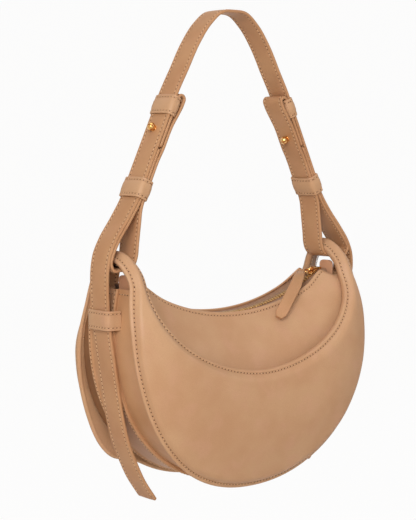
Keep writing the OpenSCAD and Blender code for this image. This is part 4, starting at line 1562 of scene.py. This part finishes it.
@dataclass
class Pouch:
    """Front and back panels of the pouch, their linings, the slip pocket and the floor."""

    form: BagForm
    finishes: Finishes
    sewing: Sewing
    steps: int = 56
    reach: float = 0.985
    hem_row: float = 3.6
    end_drop: float = 1.5
    end_arc: float = 5.5
    rows: int = 20
    sewn_col: int = 24
    spare: float = 12.0
    hem: Table = ((10, 0), (7, 0), (5.4, 0), (4.4, -0.02), (3.6, 0.36), (2.8, -0.12), (2.0, -0.2),
                  (1.1, -0.1), (0.4, 0.22), (0.08, 0.62))
    plain: Table = ((8, 0), (4, 0), (1, 0.05), (0.2, 0.3))

    def drape(self, s: float, w: Grid) -> Grid:
        """How far the soft panel stands out or sinks at a place, in millimetres."""
        fade = np.sin(np.pi * np.clip(w, 0, 1)) * (1 - s**4)
        wave = (0.55 * np.sin(5.2 * s + 2.6 * w + 0.6) + 0.35 * np.sin(9.1 * s - 4.2 * w + 1.9)
                + 0.3 * np.sin(3.1 * s + 7.4 * w))
        return fade * wave

    def slab(self, name: str, face: Face, depth: float, thick: float, reach: float, span: tuple[float, float],
             hemmed: bool) -> tuple[Piece, Grid, Grid]:
        """A leather or cloth panel of even thickness.

        Args:
            name: Name of the piece.
            face: Front or back.
            depth: Its outer face's depth under the panel's face.
            thick: Its thickness.
            reach: Share of the panel's run that it covers.
            span: Its lowest and highest share of the panel's height.
            hemmed: Whether its top edge is turned and sewn.

        Returns:
            The piece, the points of its loops and the outward directions there.
        """
        f = self.form
        shares = np.linspace(-reach, reach, 2 * self.steps + 1)
        edge = self.hem if hemmed else self.plain
        sink = [0.0] * self.rows + [k for _, k in edge]
        depths = [depth + k for k in sink] + [depth + thick - (k if k > 0.1 else 0) for k in reversed(sink)]
        lines, sewn = [], []
        for s in shares:
            height = float(np.linalg.norm(np.diff(f.panel_points(s, ENDS), axis=0))) + self.spare
            low, high = span
            if hemmed:
                high -= self.end_drop / height * max(0.0, (abs(s) - 0.95) / 0.035) ** 2
                high += self.end_arc / height * float(dent(abs(s) - 0.93, 0.13))
            up = list(np.linspace(low, high - self.spare / height, self.rows))
            up += [high - d / height for d, _ in edge]
            lines.append(np.array(up + up[::-1]))
            sewn.append(np.abs((high - lines[-1]) * height - self.hem_row))
        cuts = list(zip(shares, lines))
        base = np.array([f.panel_points(s, w) for s, w in cuts])
        base[..., 1] -= np.array([self.drape(s, w) for s, w in cuts])
        up = np.array([f.panel_points(s, w + 0.004) - f.panel_points(s, w - 0.004) for s, w in cuts])
        out = unit(np.cross(np.gradient(base, axis=0), up))
        points = base - out * np.array(depths)[:, None]
        points[..., 1] *= -face.value
        run = np.repeat(run_along(base[:, self.sewn_col])[:, None], base.shape[1], axis=1)
        chart = ringed(np.stack([run, np.array(sewn)], axis=-1), 1) * MM
        top = len(sink) - 1
        painted = {k: 1 for k in (top - 1, top, top + 1)} if hemmed else None
        piece = Bench.skin(name, f.placed(ringed(points, 1)), chart, caps=True, painted=painted, crease=70)
        out[..., 1] *= -face.value
        return piece, points, out

    def panel(self, face: Face) -> None:
        """A leather panel with its sewn hem.

        Args:
            face: Front or back.
        """
        piece, points, out = self.slab(f"{face.word}_pouch_panel", face, 0.0, self.form.gusset, self.reach,
                                       (0.0, 1.0), True)
        Bench.dress(piece, self.finishes.leather, self.finishes.edge)
        away = out[3:-3, self.sewn_col]
        rows = [SewnRow(points[3:-3, self.sewn_col], away, 0.18),
                SewnRow(points[3:-3, -1 - self.sewn_col], -away, 0.18)]
        self.sewing.sew(f"{face.word}_pouch_stitches", rows, 0.95)
        Bench.seat(piece, Body.BAG, Slot.LEATHER, f"{face.word}_panel")

    @staticmethod
    def cut_from(piece: Piece, points: Grid) -> None:
        """Works out the diagonals of a cloth piece's outer face, and keeps nothing of them.

        Args:
            piece: Not used.
            points: Its loops of points in millimetres, whose first half is the outer face.
        """
        face = points[:, :points.shape[1] // 2]
        first, second = face[1:, 1:] - face[:-1, :-1], face[1:, :-1] - face[:-1, 1:]

    def inside(self) -> None:
        """Linings, slip pocket and the lining along the gusset."""
        f = self.form
        cuts = [(f"{face.word}_pouch_lining", f"{face.word}_lining", face, 0.15, 0.8, 0.845, (0.1, 0.9))
                for face in Face]
        cuts.append(("inner_slip_pocket", "slip_pocket", Face.BACK, 1.1, 1.0, 0.42, (0.25, 0.76)))
        for name, node, face, under, thick, reach, span in cuts:
            piece, points, _ = self.slab(name, face, f.gusset + under, thick, reach, span, False)
            Bench.seat(Bench.dress(piece, self.finishes.cloth), Body.BAG, Slot.CLOTH, node)
            self.cut_from(piece, points)
        shares = np.linspace(-0.875, 0.875, 121)
        line = np.array([f.inset(s, f.overhang + f.gusset + 0.8) for s in shares])
        path, out = lifted(line, turn=-1.0)
        strip = Bench.sweep("gusset_cloth", path, out, plate_section(-22, 22, 0.8, (), 9, 0.3), f)
        Bench.seat(Bench.dress(strip, self.finishes.cloth), Body.BAG, Slot.CLOTH, "gusset_lining")

    def build(self) -> None:
        """Models the panels and what is inside."""
        for face in Face:
            self.panel(face)
        self.inside()


@dataclass
class Zip:
    """Tapes, teeth, stops, slider, ring, leather pull and the tabs at both ends."""

    form: BagForm
    finishes: Finishes
    sewing: Sewing
    pitch: float = 3.0
    slider_gap: float = 9.5
    end_clear: float = 1.0
    tape_top: float = 0.9
    clear: float = 0.3
    wing: tuple[float, float, float] = (9.0, 8.4, 1.3)
    wing_taper: float = 0.8
    bridge_h: float = 3.4
    wire_r: float = 0.75
    ring_half: tuple[float, float, float] = (5.5, 4.0, 1.6)
    ring_tilt: float = 22.0
    eye_steps: int = 20
    pull_t: float = 2.2
    pull_half: float = 4.8
    pull_full: float = 4.7
    tab_w: float = 16.0
    tab_t: float = 2.2
    tab_lead: float = 8.0
    tab_corner: float = 4.0
    stations: Sequence[tuple[float, ...]] = (
        (1.3, 0, 0, 0, 5, 0), (12, 8.6, 2.2, 1.6, 4.7, 0.8), (25, 17.2, 9.6, 2.8, 4.2, 1.6),
        (39.5, 23.2, 21, 3.2, 3.5, 2.2), (50, 26, 31, 3.3, 3.2, 2.4), (53.5, 26.8, 34.4, 1.7, 1.6, 1.3))
    bridge: Table = ((-2.45, -0.5), (-2.45, 1.6), (-1.6, 2.7), (0, 2.9), (1.6, 2.7), (2.45, 1.6),
                     (2.45, -0.5))
    bridge_section: Table = ((-0.8, 0), (-0.75, 0.3), (-0.5, 0.5), (0.5, 0.5), (0.75, 0.3), (0.8, 0),
                             (0.75, -0.3), (0.5, -0.5), (-0.5, -0.5), (-0.75, -0.3))

    @property
    def end_deg(self) -> float:
        """Angle of the zip's ends."""
        return math.degrees(math.asin(self.form.pouch_half / self.form.zip_r))

    @property
    def slider_deg(self) -> float:
        """Angle of the closed slider."""
        return self.end_deg - math.degrees(self.slider_gap / self.form.zip_r)

    @property
    def step(self) -> float:
        """Angle from one tooth to the next."""
        return math.degrees(self.pitch / self.form.zip_r)

    @property
    def count(self) -> int:
        """Number of teeth from the middle to an end."""
        return int((self.end_deg - self.end_clear) / self.step)

    @property
    def wing_h(self) -> float:
        """Height of the upper wing's underside over the zip."""
        return self.tape_top + self.clear + 0.09

    def tape(self, face: Face) -> None:
        """One tape, from the panel's inside to the teeth.

        Args:
            face: Front or back.
        """
        f = self.form
        grid, chart = [], []
        for share in np.sin(np.linspace(-1, 1, 61) * math.pi / 2):
            q = abs(float(share))
            k = min(q, f.shoulder)
            b, t = f.inset(k, f.overhang + f.gusset + f.air), f.top_edge(k)
            toward = np.array([t[0], -math.sqrt(f.arc_r**2 - t[0] ** 2)]) / f.arc_r
            w = 1 - f.zip_drop / float((b - t) @ toward)
            edge = f.panel_points(k, np.array([w]), f.gusset + f.air)[0]
            over = max(0.0, (q - f.shoulder) / (1 - f.shoulder))
            x = mix(edge[0], f.pouch_half, over)
            z = mix(edge[2], f.arc_h - math.sqrt(f.zip_r**2 - x * x), min(1.0, over * 4))
            ys = np.linspace(mix(edge[1], -8.6, over), -0.25, 7)
            zs = z - 0.25 * np.sin(np.linspace(0, math.pi, 7))
            x = math.copysign(x, share)
            top = [(x, v, h) for v, h in zip(ys, zs)]
            grid.append([*top, *((x, v, h - 1.0) for _, v, h in reversed(top)), top[0]])
            chart.append([(share * f.pouch_half, 10.0 + v) for v in [*ys, *ys[::-1], ys[0]]])
        points = np.array(grid)
        points[..., 1] *= -face.value
        tape = Bench.skin(f"{face.word}_tape", f.placed(points), np.array(chart) * MM, caps=True)
        Bench.seat(Bench.dress(tape, self.finishes.tape), Body.BAG, Slot.TAPE, "zip_tape_" + face.word)

    def teeth(self, face: Face) -> None:
        """One row of metal teeth, a half pitch off from the other row.

        Args:
            face: Front or back.
        """
        f, frames = self.form, []
        tooth = Bench.primitive("cube", f"{face.word}_teeth", (1.65, 3.6, 1.7), size=1.0)
        Bench.edit(tooth, bpy.ops.mesh.bevel, offset=0.35 * MM, offset_pct=0, segments=1, affect="EDGES")
        Bench.soften(tooth, 50)
        Bench.dress(tooth, self.finishes.brass)
        for i in range(-self.count, self.count + 1):
            deg = (i - 0.25 * face.value) * self.step
            if abs(deg) <= self.count * self.step:
                m = np.array(Matrix.Rotation(-math.radians(deg), 4, "Y"))
                m[:3, 3] = f.placed(f.on_arc(deg, np.array([0.0, face.value * 1.35, 0.15])))
                frames.append(m)
        Bench.repeat(tooth, np.array(frames))
        Bench.seat(tooth, Body.BAG, Slot.GOLD, "zip_teeth_" + face.word)

    def block(self, name: str, size: Sequence[float], high: float, degrees: float, bevel: float,
              taper: float = 1.0) -> Piece:
        """A small metal block with bevelled edges, on the zip's arc.

        Args:
            name: Name of the piece.
            size: Its length along the zip, its width and its height.
            high: Height of its middle over the zip.
            degrees: The place on the zip.
            bevel: Width of its bevels.
            taper: Width of its left end as a share of the right one.

        Returns:
            The piece.
        """
        obj = Bench.primitive("cube", name, size, size=1.0)
        for v in obj.data.vertices:
            if v.co.x < 0:
                v.co.y *= taper
        Bench.edit(obj, bpy.ops.mesh.bevel, offset=bevel * MM, offset_pct=0, segments=3, affect="EDGES")
        raw = np.array([v.co for v in obj.data.vertices]) / MM + np.array([0, 0, high])
        obj.data.vertices.foreach_set("co", self.form.placed(self.form.on_arc(degrees, raw)).ravel())
        Bench.soften(obj, 40)
        return obj

    def slider(self) -> None:
        """The slider: two wings, the post between them and the bridge that holds the ring."""
        f, deg = self.form, self.slider_deg
        upper, lower = self.wing_h, 1.0 + self.tape_top + self.clear
        half = self.wing[2] / 2
        parts = [self.block("wing_up", self.wing, upper + half, deg, 0.4, self.wing_taper),
                 self.block("wing_low", self.wing, -lower - half, deg, 0.4, self.wing_taper),
                 self.block("post", (3, 0.9, upper + lower), (upper - lower) / 2, deg, 0.1)]
        arch = smooth_curve([(x, upper + self.wing[2] + z) for x, z in self.bridge], 0.5)
        path, out = lifted(arch)
        placed = f.on_arc(deg, path)
        parts.append(Bench.sweep("bridge", placed, f.on_arc(deg, path + out) - placed,
                                 np.array(self.bridge_section), f))
        slider = Bench.dress(Bench.joined("slider_body", *parts), self.finishes.gold)
        Bench.seat(slider, Body.SLIDER, Slot.GOLD, "zip_slider")

    def ring_place(self, local: Grid) -> Grid:
        """Points given in the ring's own frame, pin at its origin, put where the ring lies."""
        tilt = math.radians(self.ring_tilt)
        high = self.wing_h + self.wing[2] + self.bridge_h - 1.1 - self.wire_r - self.clear
        x = local[..., 0] * math.cos(tilt) + local[..., 2] * math.sin(tilt)
        z = -local[..., 0] * math.sin(tilt) + local[..., 2] * math.cos(tilt) + high
        return self.form.on_arc(self.slider_deg, np.stack([x, local[..., 1], z], axis=-1))

    def ring(self) -> None:
        """The wire link between the slider and the leather pull."""
        plan = round_frame(*self.ring_half, 6, 3)
        local = level(plan) - np.array([self.ring_half[0], 0, 0])
        away = level(-turned(slopes_of(plan, True)))
        placed = self.ring_place(local)
        up, out = (self.ring_place(local + v) - placed for v in (np.array([0, 0, 1.0]), away))
        section = round_section(self.wire_r, 12)
        ring = Bench.sweep("zip_ring", placed, out, section, self.form, up, closed=True, crease=60)
        Bench.seat(Bench.dress(ring, self.finishes.gold), Body.RING, Slot.GOLD, "pull_ring")

    def pull(self) -> None:
        """The leather pull: an eye round the ring's far bar and a pointed tongue."""
        f, h = self.form, self.pull_t / 2
        far = self.ring_place(np.array([-2 * self.ring_half[0], 0.0, 0.0]))
        mids = np.array([(far[0] - p[0], -p[1], far[2] - p[2]) for p in self.stations])
        sides = np.array([(p[3], -p[4], -p[5]) for p in self.stations])
        line = smooth_curve(mids, 1.0)
        run, marks = run_along(line), run_along(mids)
        width = np.stack([np.interp(run * marks[-1] / run[-1], marks, sides[:, k]) for k in range(3)], axis=1)
        half = np.linalg.norm(width, axis=1)
        half = np.where(run > marks[-2] / marks[-1] * run[-1], half, np.maximum(half, self.pull_full))
        across = unit(width)
        out = unit(np.cross(slopes_of(line), across))
        if out[len(out) // 2, 1] > 0:
            out = -out
        section = strap_section(2 * self.pull_half, self.pull_t, 1.6, 0.12, 0.15)
        sections = narrowed(section, half / self.pull_half)
        tongue = Bench.sweep("pull_tongue", line, out, sections, f, across, crease=50)
        away = upright(round_section(1.0, self.eye_steps))
        eye = Bench.sweep("pull_eye", far + (1.0 + h * 0.55) * away, away,
                          strap_section(5.8, h * 1.1, 0.9, 0.0, 0.0), f, closed=True, crease=50)
        pull = Bench.joined("zip_pull", tongue, eye)
        Bench.dress(pull, self.finishes.strap, self.finishes.edge)
        k = int(np.searchsorted(run, 7.0))
        cross = np.linspace(-3.6, 3.6, 8)[:, None]
        row = SewnRow(line[k] + cross * across[k] + out[k] * (h + 0.02), np.repeat(out[k][None], 8, axis=0))
        self.sewing.sew("zip_pull_stitches", [row], 0.8, Body.PULL)
        Bench.seat(pull, Body.PULL, Slot.LEATHER, "leather_pull")

    def tab(self, side: Side) -> None:
        """The upright leather tab at an end of the zip.

        Args:
            side: Which end.
        """
        f = self.form
        x0 = f.pouch_half + f.air + self.tab_t / 2
        low, high = 0.804 * f.height, 0.907 * f.height
        reach = f.inset(0.95, f.overhang + f.gusset)[0] - 0.3
        plan = [(reach, low + 1.1), (mix(x0, reach, 0.45), low + 1.15), (x0 + 0.9, low + 1.7), (x0, low + 4),
                (x0 - 0.1, mix(low, high, 0.6)), (x0, high)]
        line = smooth_curve(plan, 0.8)
        path, out = lifted(line, side.value, -self.tab_lead)
        near = np.maximum(0, self.tab_corner - np.linalg.norm(line[-1] - line, axis=1))
        pull_in = self.tab_corner - np.sqrt(self.tab_corner**2 - near**2)
        section = strap_section(self.tab_w, self.tab_t, 1.6, 0.05, 0.25)
        sections = narrowed(section, 1 - pull_in / (self.tab_w / 2))
        tab = Bench.sweep(f"end_tab_{side.word}", path, out, sections, f)
        Bench.dress(tab, self.finishes.tab, self.finishes.edge)
        Bench.seat(tab, Body.BAG, Slot.LEATHER, f"zip_end_tab_{side.word}")

    def stops(self) -> None:
        """The two metal stops at the ends of the teeth."""
        deg = self.count * self.step + math.degrees((0.85 + 1.0 + self.clear) / self.form.zip_r)
        parts = [self.block(f"stop_{side.word}", (2.0, 9.0, 1.5), 0.7, side.value * deg, 0.35)
                 for side in Side]
        stops = Bench.dress(Bench.joined("end_stops", *parts), self.finishes.gold)
        Bench.seat(stops, Body.BAG, Slot.GOLD, "zip_stops")

    def build(self) -> None:
        """Models the whole zip."""
        for make in (self.tape, self.teeth):
            for face in Face:
                make(face)
        for make in (self.stops, self.slider, self.ring, self.pull):
            make()
        for side in Side:
            self.tab(side)


@dataclass
class Straps:
    """The shoulder strap with its tails, the loop straps, the keepers and the ball studs."""

    bag: BagForm
    form: StrapForm
    finishes: Finishes
    sewing: Sewing
    sewn: float = 2.9
    corner: float = 2.2
    turn_run: float = 16.0
    keeper_row: float = 2.4
    keeper_bow: float = 0.9
    stud_up: tuple[float, float] = (0.39, 0.333)
    ball_r: float = 3.5

    @staticmethod
    def upright_frame(v: Grid, side: Side) -> Grid:
        """A plane direction or point, drawn on the right, in the frame's X, Y and Z."""
        return np.array([v[0] * side.value, 0.0, v[1]])

    @staticmethod
    def fine_ends(line: Grid) -> Grid:
        """A line with more points close to its ends, for their round corners."""
        shares = np.array([[0.0], [0.12], [0.35], [0.65]])
        return np.concatenate([mix(line[:1], line[1:2], shares), line[1:-1],
                               mix(line[-1:], line[-2:-1], shares[::-1])])

    def strip(self, name: str, line: Grid, side: float, margin: int, scale: float, body: Body | None,
              crease: float = 35.0) -> list[Piece]:
        """A strap with sewn rows near both edges on both faces, and ends drawn in to round corners.

        Args:
            name: Name of the strap.
            line: Its middle line in X and Z, drawn on the right.
            side: 1 for the right side, -1 for the left one.
            margin: Points of the line without stitches at either end.
            scale: Size of the threads and holes.
            body: The body of the stitches, if they are seated here.
            crease: Angle in degrees above which an edge stays sharp.

        Returns:
            The strap and its stitches.
        """
        width, thick = self.form.width, self.form.thick
        path, out = lifted(line, side)
        run = run_along(path)
        left = np.minimum(run, run[-1] - run)
        near = np.clip(self.corner - left, 0, self.corner)
        pull_in = self.corner - np.sqrt(self.corner**2 - near**2)
        sections = narrowed(strap_section(width, thick, self.sewn), 1 - pull_in / (width / 2))
        sections[..., 1] *= (1 - 0.45 * np.clip(1 - left / 0.5, 0, 1))[:, None]
        sewn = width / 2 - self.sewn
        strap = Bench.sweep(name, path, out, sections, self.bag, rows_at=(-sewn, sewn), crease=crease)
        for f in strap.data.polygons:
            f.material_index = int(abs(f.normal[1]) > 0.72)
        Bench.dress(strap, self.finishes.strap, self.finishes.edge)
        path, out = path[margin:-margin], out[margin:-margin]
        rows = [SewnRow(path + a * sewn * Y_AXIS + face * (thick / 2 - 0.2) * out, face * out)
                for a in (-1, 1) for face in (-1, 1)]
        return [strap, self.sewing.sew(name + "_stitches", rows, scale, body)]

    def shoulder(self) -> None:
        """The shoulder strap from tail to tail, fixed in place."""
        strap, stitches = self.strip("whole_strap", self.fine_ends(self.form.whole()), 1.0, 5, 1.0, None)
        axis = (self.form.swing_h - self.bag.hang) * MM
        start, end = (0, 0, axis + self.turn_run * MM), (0, 0, axis - self.turn_run * MM)
        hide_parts("shoulder_strap", "strap_tail_left", "strap_tail_right")
        for piece in (strap, stitches):
            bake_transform(piece)

    def loop(self, side: Side) -> None:
        """A loop strap: folded over the upper keeper and round the arch."""
        loop, _ = self.strip(f"loop_{side.word}", self.form.loop(side), side.value, 3, 0.95, Body.STRAP, 60)
        Bench.seat(loop, Body.STRAP, Slot.LEATHER, f"loop_strap_{side.word}")

    def keeper(self, side: Side, upper: bool) -> None:
        """A closed leather band round the strap's layers, with two sewn rows.

        Args:
            side: Which side.
            upper: Whether it is the upper, fixed one.
        """
        s, wall, run = self.form, self.form.keeper_wall, self.form.keeper_run
        clear = 0.15 if upper else 0.3
        n0, n1 = -s.thick / 2, (s.fold_n if upper else s.low_n) + s.thick / 2
        start = s.keeper_start if upper else s.length - 3 - run
        half_n, half_y = (n1 - n0) / 2 + clear + wall / 2, s.width / 2 + clear + wall / 2
        plan = round_frame(half_n, half_y, 2.5, 5, 9)
        plan[:, 0] *= 1 + self.keeper_bow / half_n * np.cos(np.clip(plan[:, 1] / half_y, -1, 1) * math.pi / 2)
        plane = np.array([self.upright_frame(s.inward, side), Y_AXIS])
        path = self.upright_frame(s.arm(start + run / 2, (n0 + n1) / 2), side) + plan @ plane
        out = -turned(slopes_of(plan, True)) @ plane
        self.sewing.band(f"{'upper' if upper else 'lower'}_keeper_{side.word}", path, out,
                         self.upright_frame(s.down, side), (run, wall, self.keeper_row, 0.45), 0.85,
                         (self.finishes.leather, self.finishes.edge),
                         Body.STRAP if upper else Body[f"KEEPER_{side.name}"], closed=True, crease=55)

    def stud(self, side: Side, outer: bool) -> None:
        """A ball stud through the layers: base disc, shank, collar and slit ball.

        Args:
            side: Which side.
            outer: Whether its ball is on the outside of the arm.
        """
        s, half, kind = self.form, self.form.thick / 2, "outer" if outer else "inner"
        n0, n1 = (s.fold_n + half, -half) if outer else (s.fold_n - half, s.leg_n + half)
        grip = abs(n1 - n0)
        turned_parts = (("base", 4.0, -0.65, -0.15, 0.2), ("shank", 1.5, -0.4, grip, 0.1),
                        ("collar", 3.0, grip + 0.15, grip + 0.75, 0.25),
                        ("neck", 1.9, grip + 0.3, grip + 3.2, 0.1))
        parts = []
        for name, radius, low, high, bevel in turned_parts:
            part = Bench.primitive("cylinder", name, vertices=32, radius=radius * MM, depth=(high - low) * MM,
                                   location=(0, 0, (low + high) / 2 * MM))
            Bench.apply(part, "BEVEL", width=bevel * MM, segments=3, limit_method="ANGLE", angle_limit=1.0)
            parts.append(part)
        ball_h = grip + 0.15 + 3.4
        ball = Bench.primitive("uv_sphere", "ball", segments=32, ring_count=20, radius=self.ball_r * MM,
                               location=(0, 0, ball_h * MM))
        cutter = Bench.primitive("cube", "slit", (0.8, 9, 5.2), size=1.0,
                                 location=(0, 0, (ball_h + 3.2) * MM))
        Bench.apply(ball, "BOOLEAN", operation="DIFFERENCE", object=cutter, solver="EXACT")
        bpy.data.objects.remove(cutter, do_unlink=True)
        stud = Bench.joined(f"{kind}_ball_stud_{side.word}", *parts, ball)
        frame = np.eye(4)
        frame[:3, 0] = self.upright_frame(s.down, side)
        frame[:3, 2] = self.upright_frame(-s.inward if outer else s.inward, side)
        frame[:3, 3] = self.bag.placed(self.upright_frame(s.arm(self.stud_up[outer] * s.length, n0), side))
        stud.data.transform(Matrix(frame.tolist()))
        if np.linalg.det(frame[:3, :3]) < 0:
            Bench.edit(stud, bpy.ops.mesh.flip_normals)
        Bench.soften(stud, 35)
        Bench.seat(Bench.dress(stud, self.finishes.gold), Body.STRAP, Slot.GOLD, f"{kind}_stud_{side.word}")

    def build(self) -> None:
        """Models all straps, keepers and studs."""
        self.shoulder()
        for side in Side:
            self.loop(side)
            for make in (self.keeper, self.stud):
                for place in (True, False):
                    make(side, place)


@dataclass
class Studio:
    """Camera, white paper and soft lights of the product shot."""

    camera_at: tuple[float, float, float] = (-0.8031, -0.9336, -0.1016)
    azimuth: float = -40.0
    pitch: float = 5.0
    focal_px: float = 1440.0
    tall_px: float = 520.0
    sensor: float = 36.0
    floor_z: float = -0.62
    middle: tuple[float, float, float] = (0.0, 0.0, -0.25)

    @staticmethod
    def aimed(name: str, ahead: Vector) -> Piece:
        """Names the lamp or camera just added, and turns it to look ahead."""
        obj = Bench.named(name)
        obj.rotation_mode = "QUATERNION"
        obj.rotation_quaternion = ahead.to_track_quat("-Z", "Y")
        return obj

    def camera(self) -> None:
        """The camera at the photograph's place."""
        a, e = math.radians(self.azimuth), math.radians(self.pitch)
        Bench.clear()
        bpy.ops.object.camera_add(location=self.camera_at)
        ahead = Vector((-math.sin(a) * math.cos(e), math.cos(a) * math.cos(e), -math.sin(e)))
        cam = self.aimed("studio_camera", ahead)
        cam.data.sensor_width = self.sensor
        cam.data.lens = self.focal_px / self.tall_px * self.sensor
        cam.data.clip_start, cam.data.clip_end = 0.05, 50.0
        bpy.context.scene.camera = cam

    def paper(self) -> None:
        """The floor, which curves up into the backdrop all round, far from the bag."""
        paper = Bench.primitive("grid", "studio_paper", x_subdivisions=48, y_subdivisions=48, size=14.0)
        for v in paper.data.vertices:
            far = max(0.0, v.co.xy.length - 3.2)
            v.co.z = self.floor_z + 0.35 * far * far
        Bench.soften(paper, 80)
        Bench.dress(paper, StudioFinish().material())

    def lamp(self, name: str, at: tuple[float, float, float], size: float, power: float) -> None:
        """A soft box of a size in metres and a power in watts, which looks at the bag."""
        Bench.clear()
        bpy.ops.object.light_add(type="AREA", location=at)
        lamp = self.aimed(name, Vector(self.middle) - Vector(at))
        lamp.data.shape, lamp.data.size, lamp.data.energy = "SQUARE", size, power

    def world(self, level: float = 0.24, mirrored: float = 0.75) -> None:
        """An even pale world that is white to the camera."""
        r = Recipe(bpy.data.worlds.new("studio_world"), "OutputWorld")
        dim = r.node("Background", None, {0: (1.0, 0.965, 0.91, 1.0), 1: level})
        bright = r.node("Background", None, {0: (1.0, 1.0, 1.0, 1.0), 1: 1.0})
        bpy.context.scene.world = r.mixed(r.white_share(mirrored), dim, bright)

    def build(self) -> None:
        """Sets up the paper, the light and the view settings."""
        self.paper()
        self.world()
        self.lamp("key_box", (-1.9, -1.75, 0.8), 1.5, 58.0)
        self.lamp("right_box", (1.6, -1.6, 0.6), 1.3, 6.0)
        self.lamp("top_box", (-0.1, -0.2, 2.0), 1.6, 13.0)
        bpy.context.scene.view_settings.view_transform = "Standard"


def dress_nodes(frame: dict[str, Any], finishes: Finishes) -> None:
    """Gives the CAD nodes that stay in view their procedural materials."""
    for name, obj in frame["nodes"].items():
        Bench.dress(obj, finishes.board if name == "base_stiffener" else finishes.leather)


def main() -> None:
    """Builds the whole bag in order, and reports each piece."""
    logging.basicConfig(level=logging.INFO, format="%(name)s: %(message)s")
    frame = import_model()
    studio = Studio()
    studio.camera()
    form = BagForm()
    straps = StrapForm(form)
    finishes = Finishes()
    sewing = Sewing(finishes.thread, finishes.hole, form)
    dress_nodes(frame, finishes)
    seen = set(bpy.data.objects)
    for part in (PaddedShell(form, finishes, sewing), Gusset(form, straps, finishes, sewing),
                 Pouch(form, finishes, sewing), Zip(form, finishes, sewing),
                 Straps(form, straps, finishes, sewing)):
        part.build()
        for piece in (o for o in bpy.data.objects if o not in seen):
            LOG.info("%s: %s, %d faces", type(part).__name__, piece.name, len(piece.data.polygons))
        seen = set(bpy.data.objects)
    studio.build()


if __name__ == "__main__":
    main()
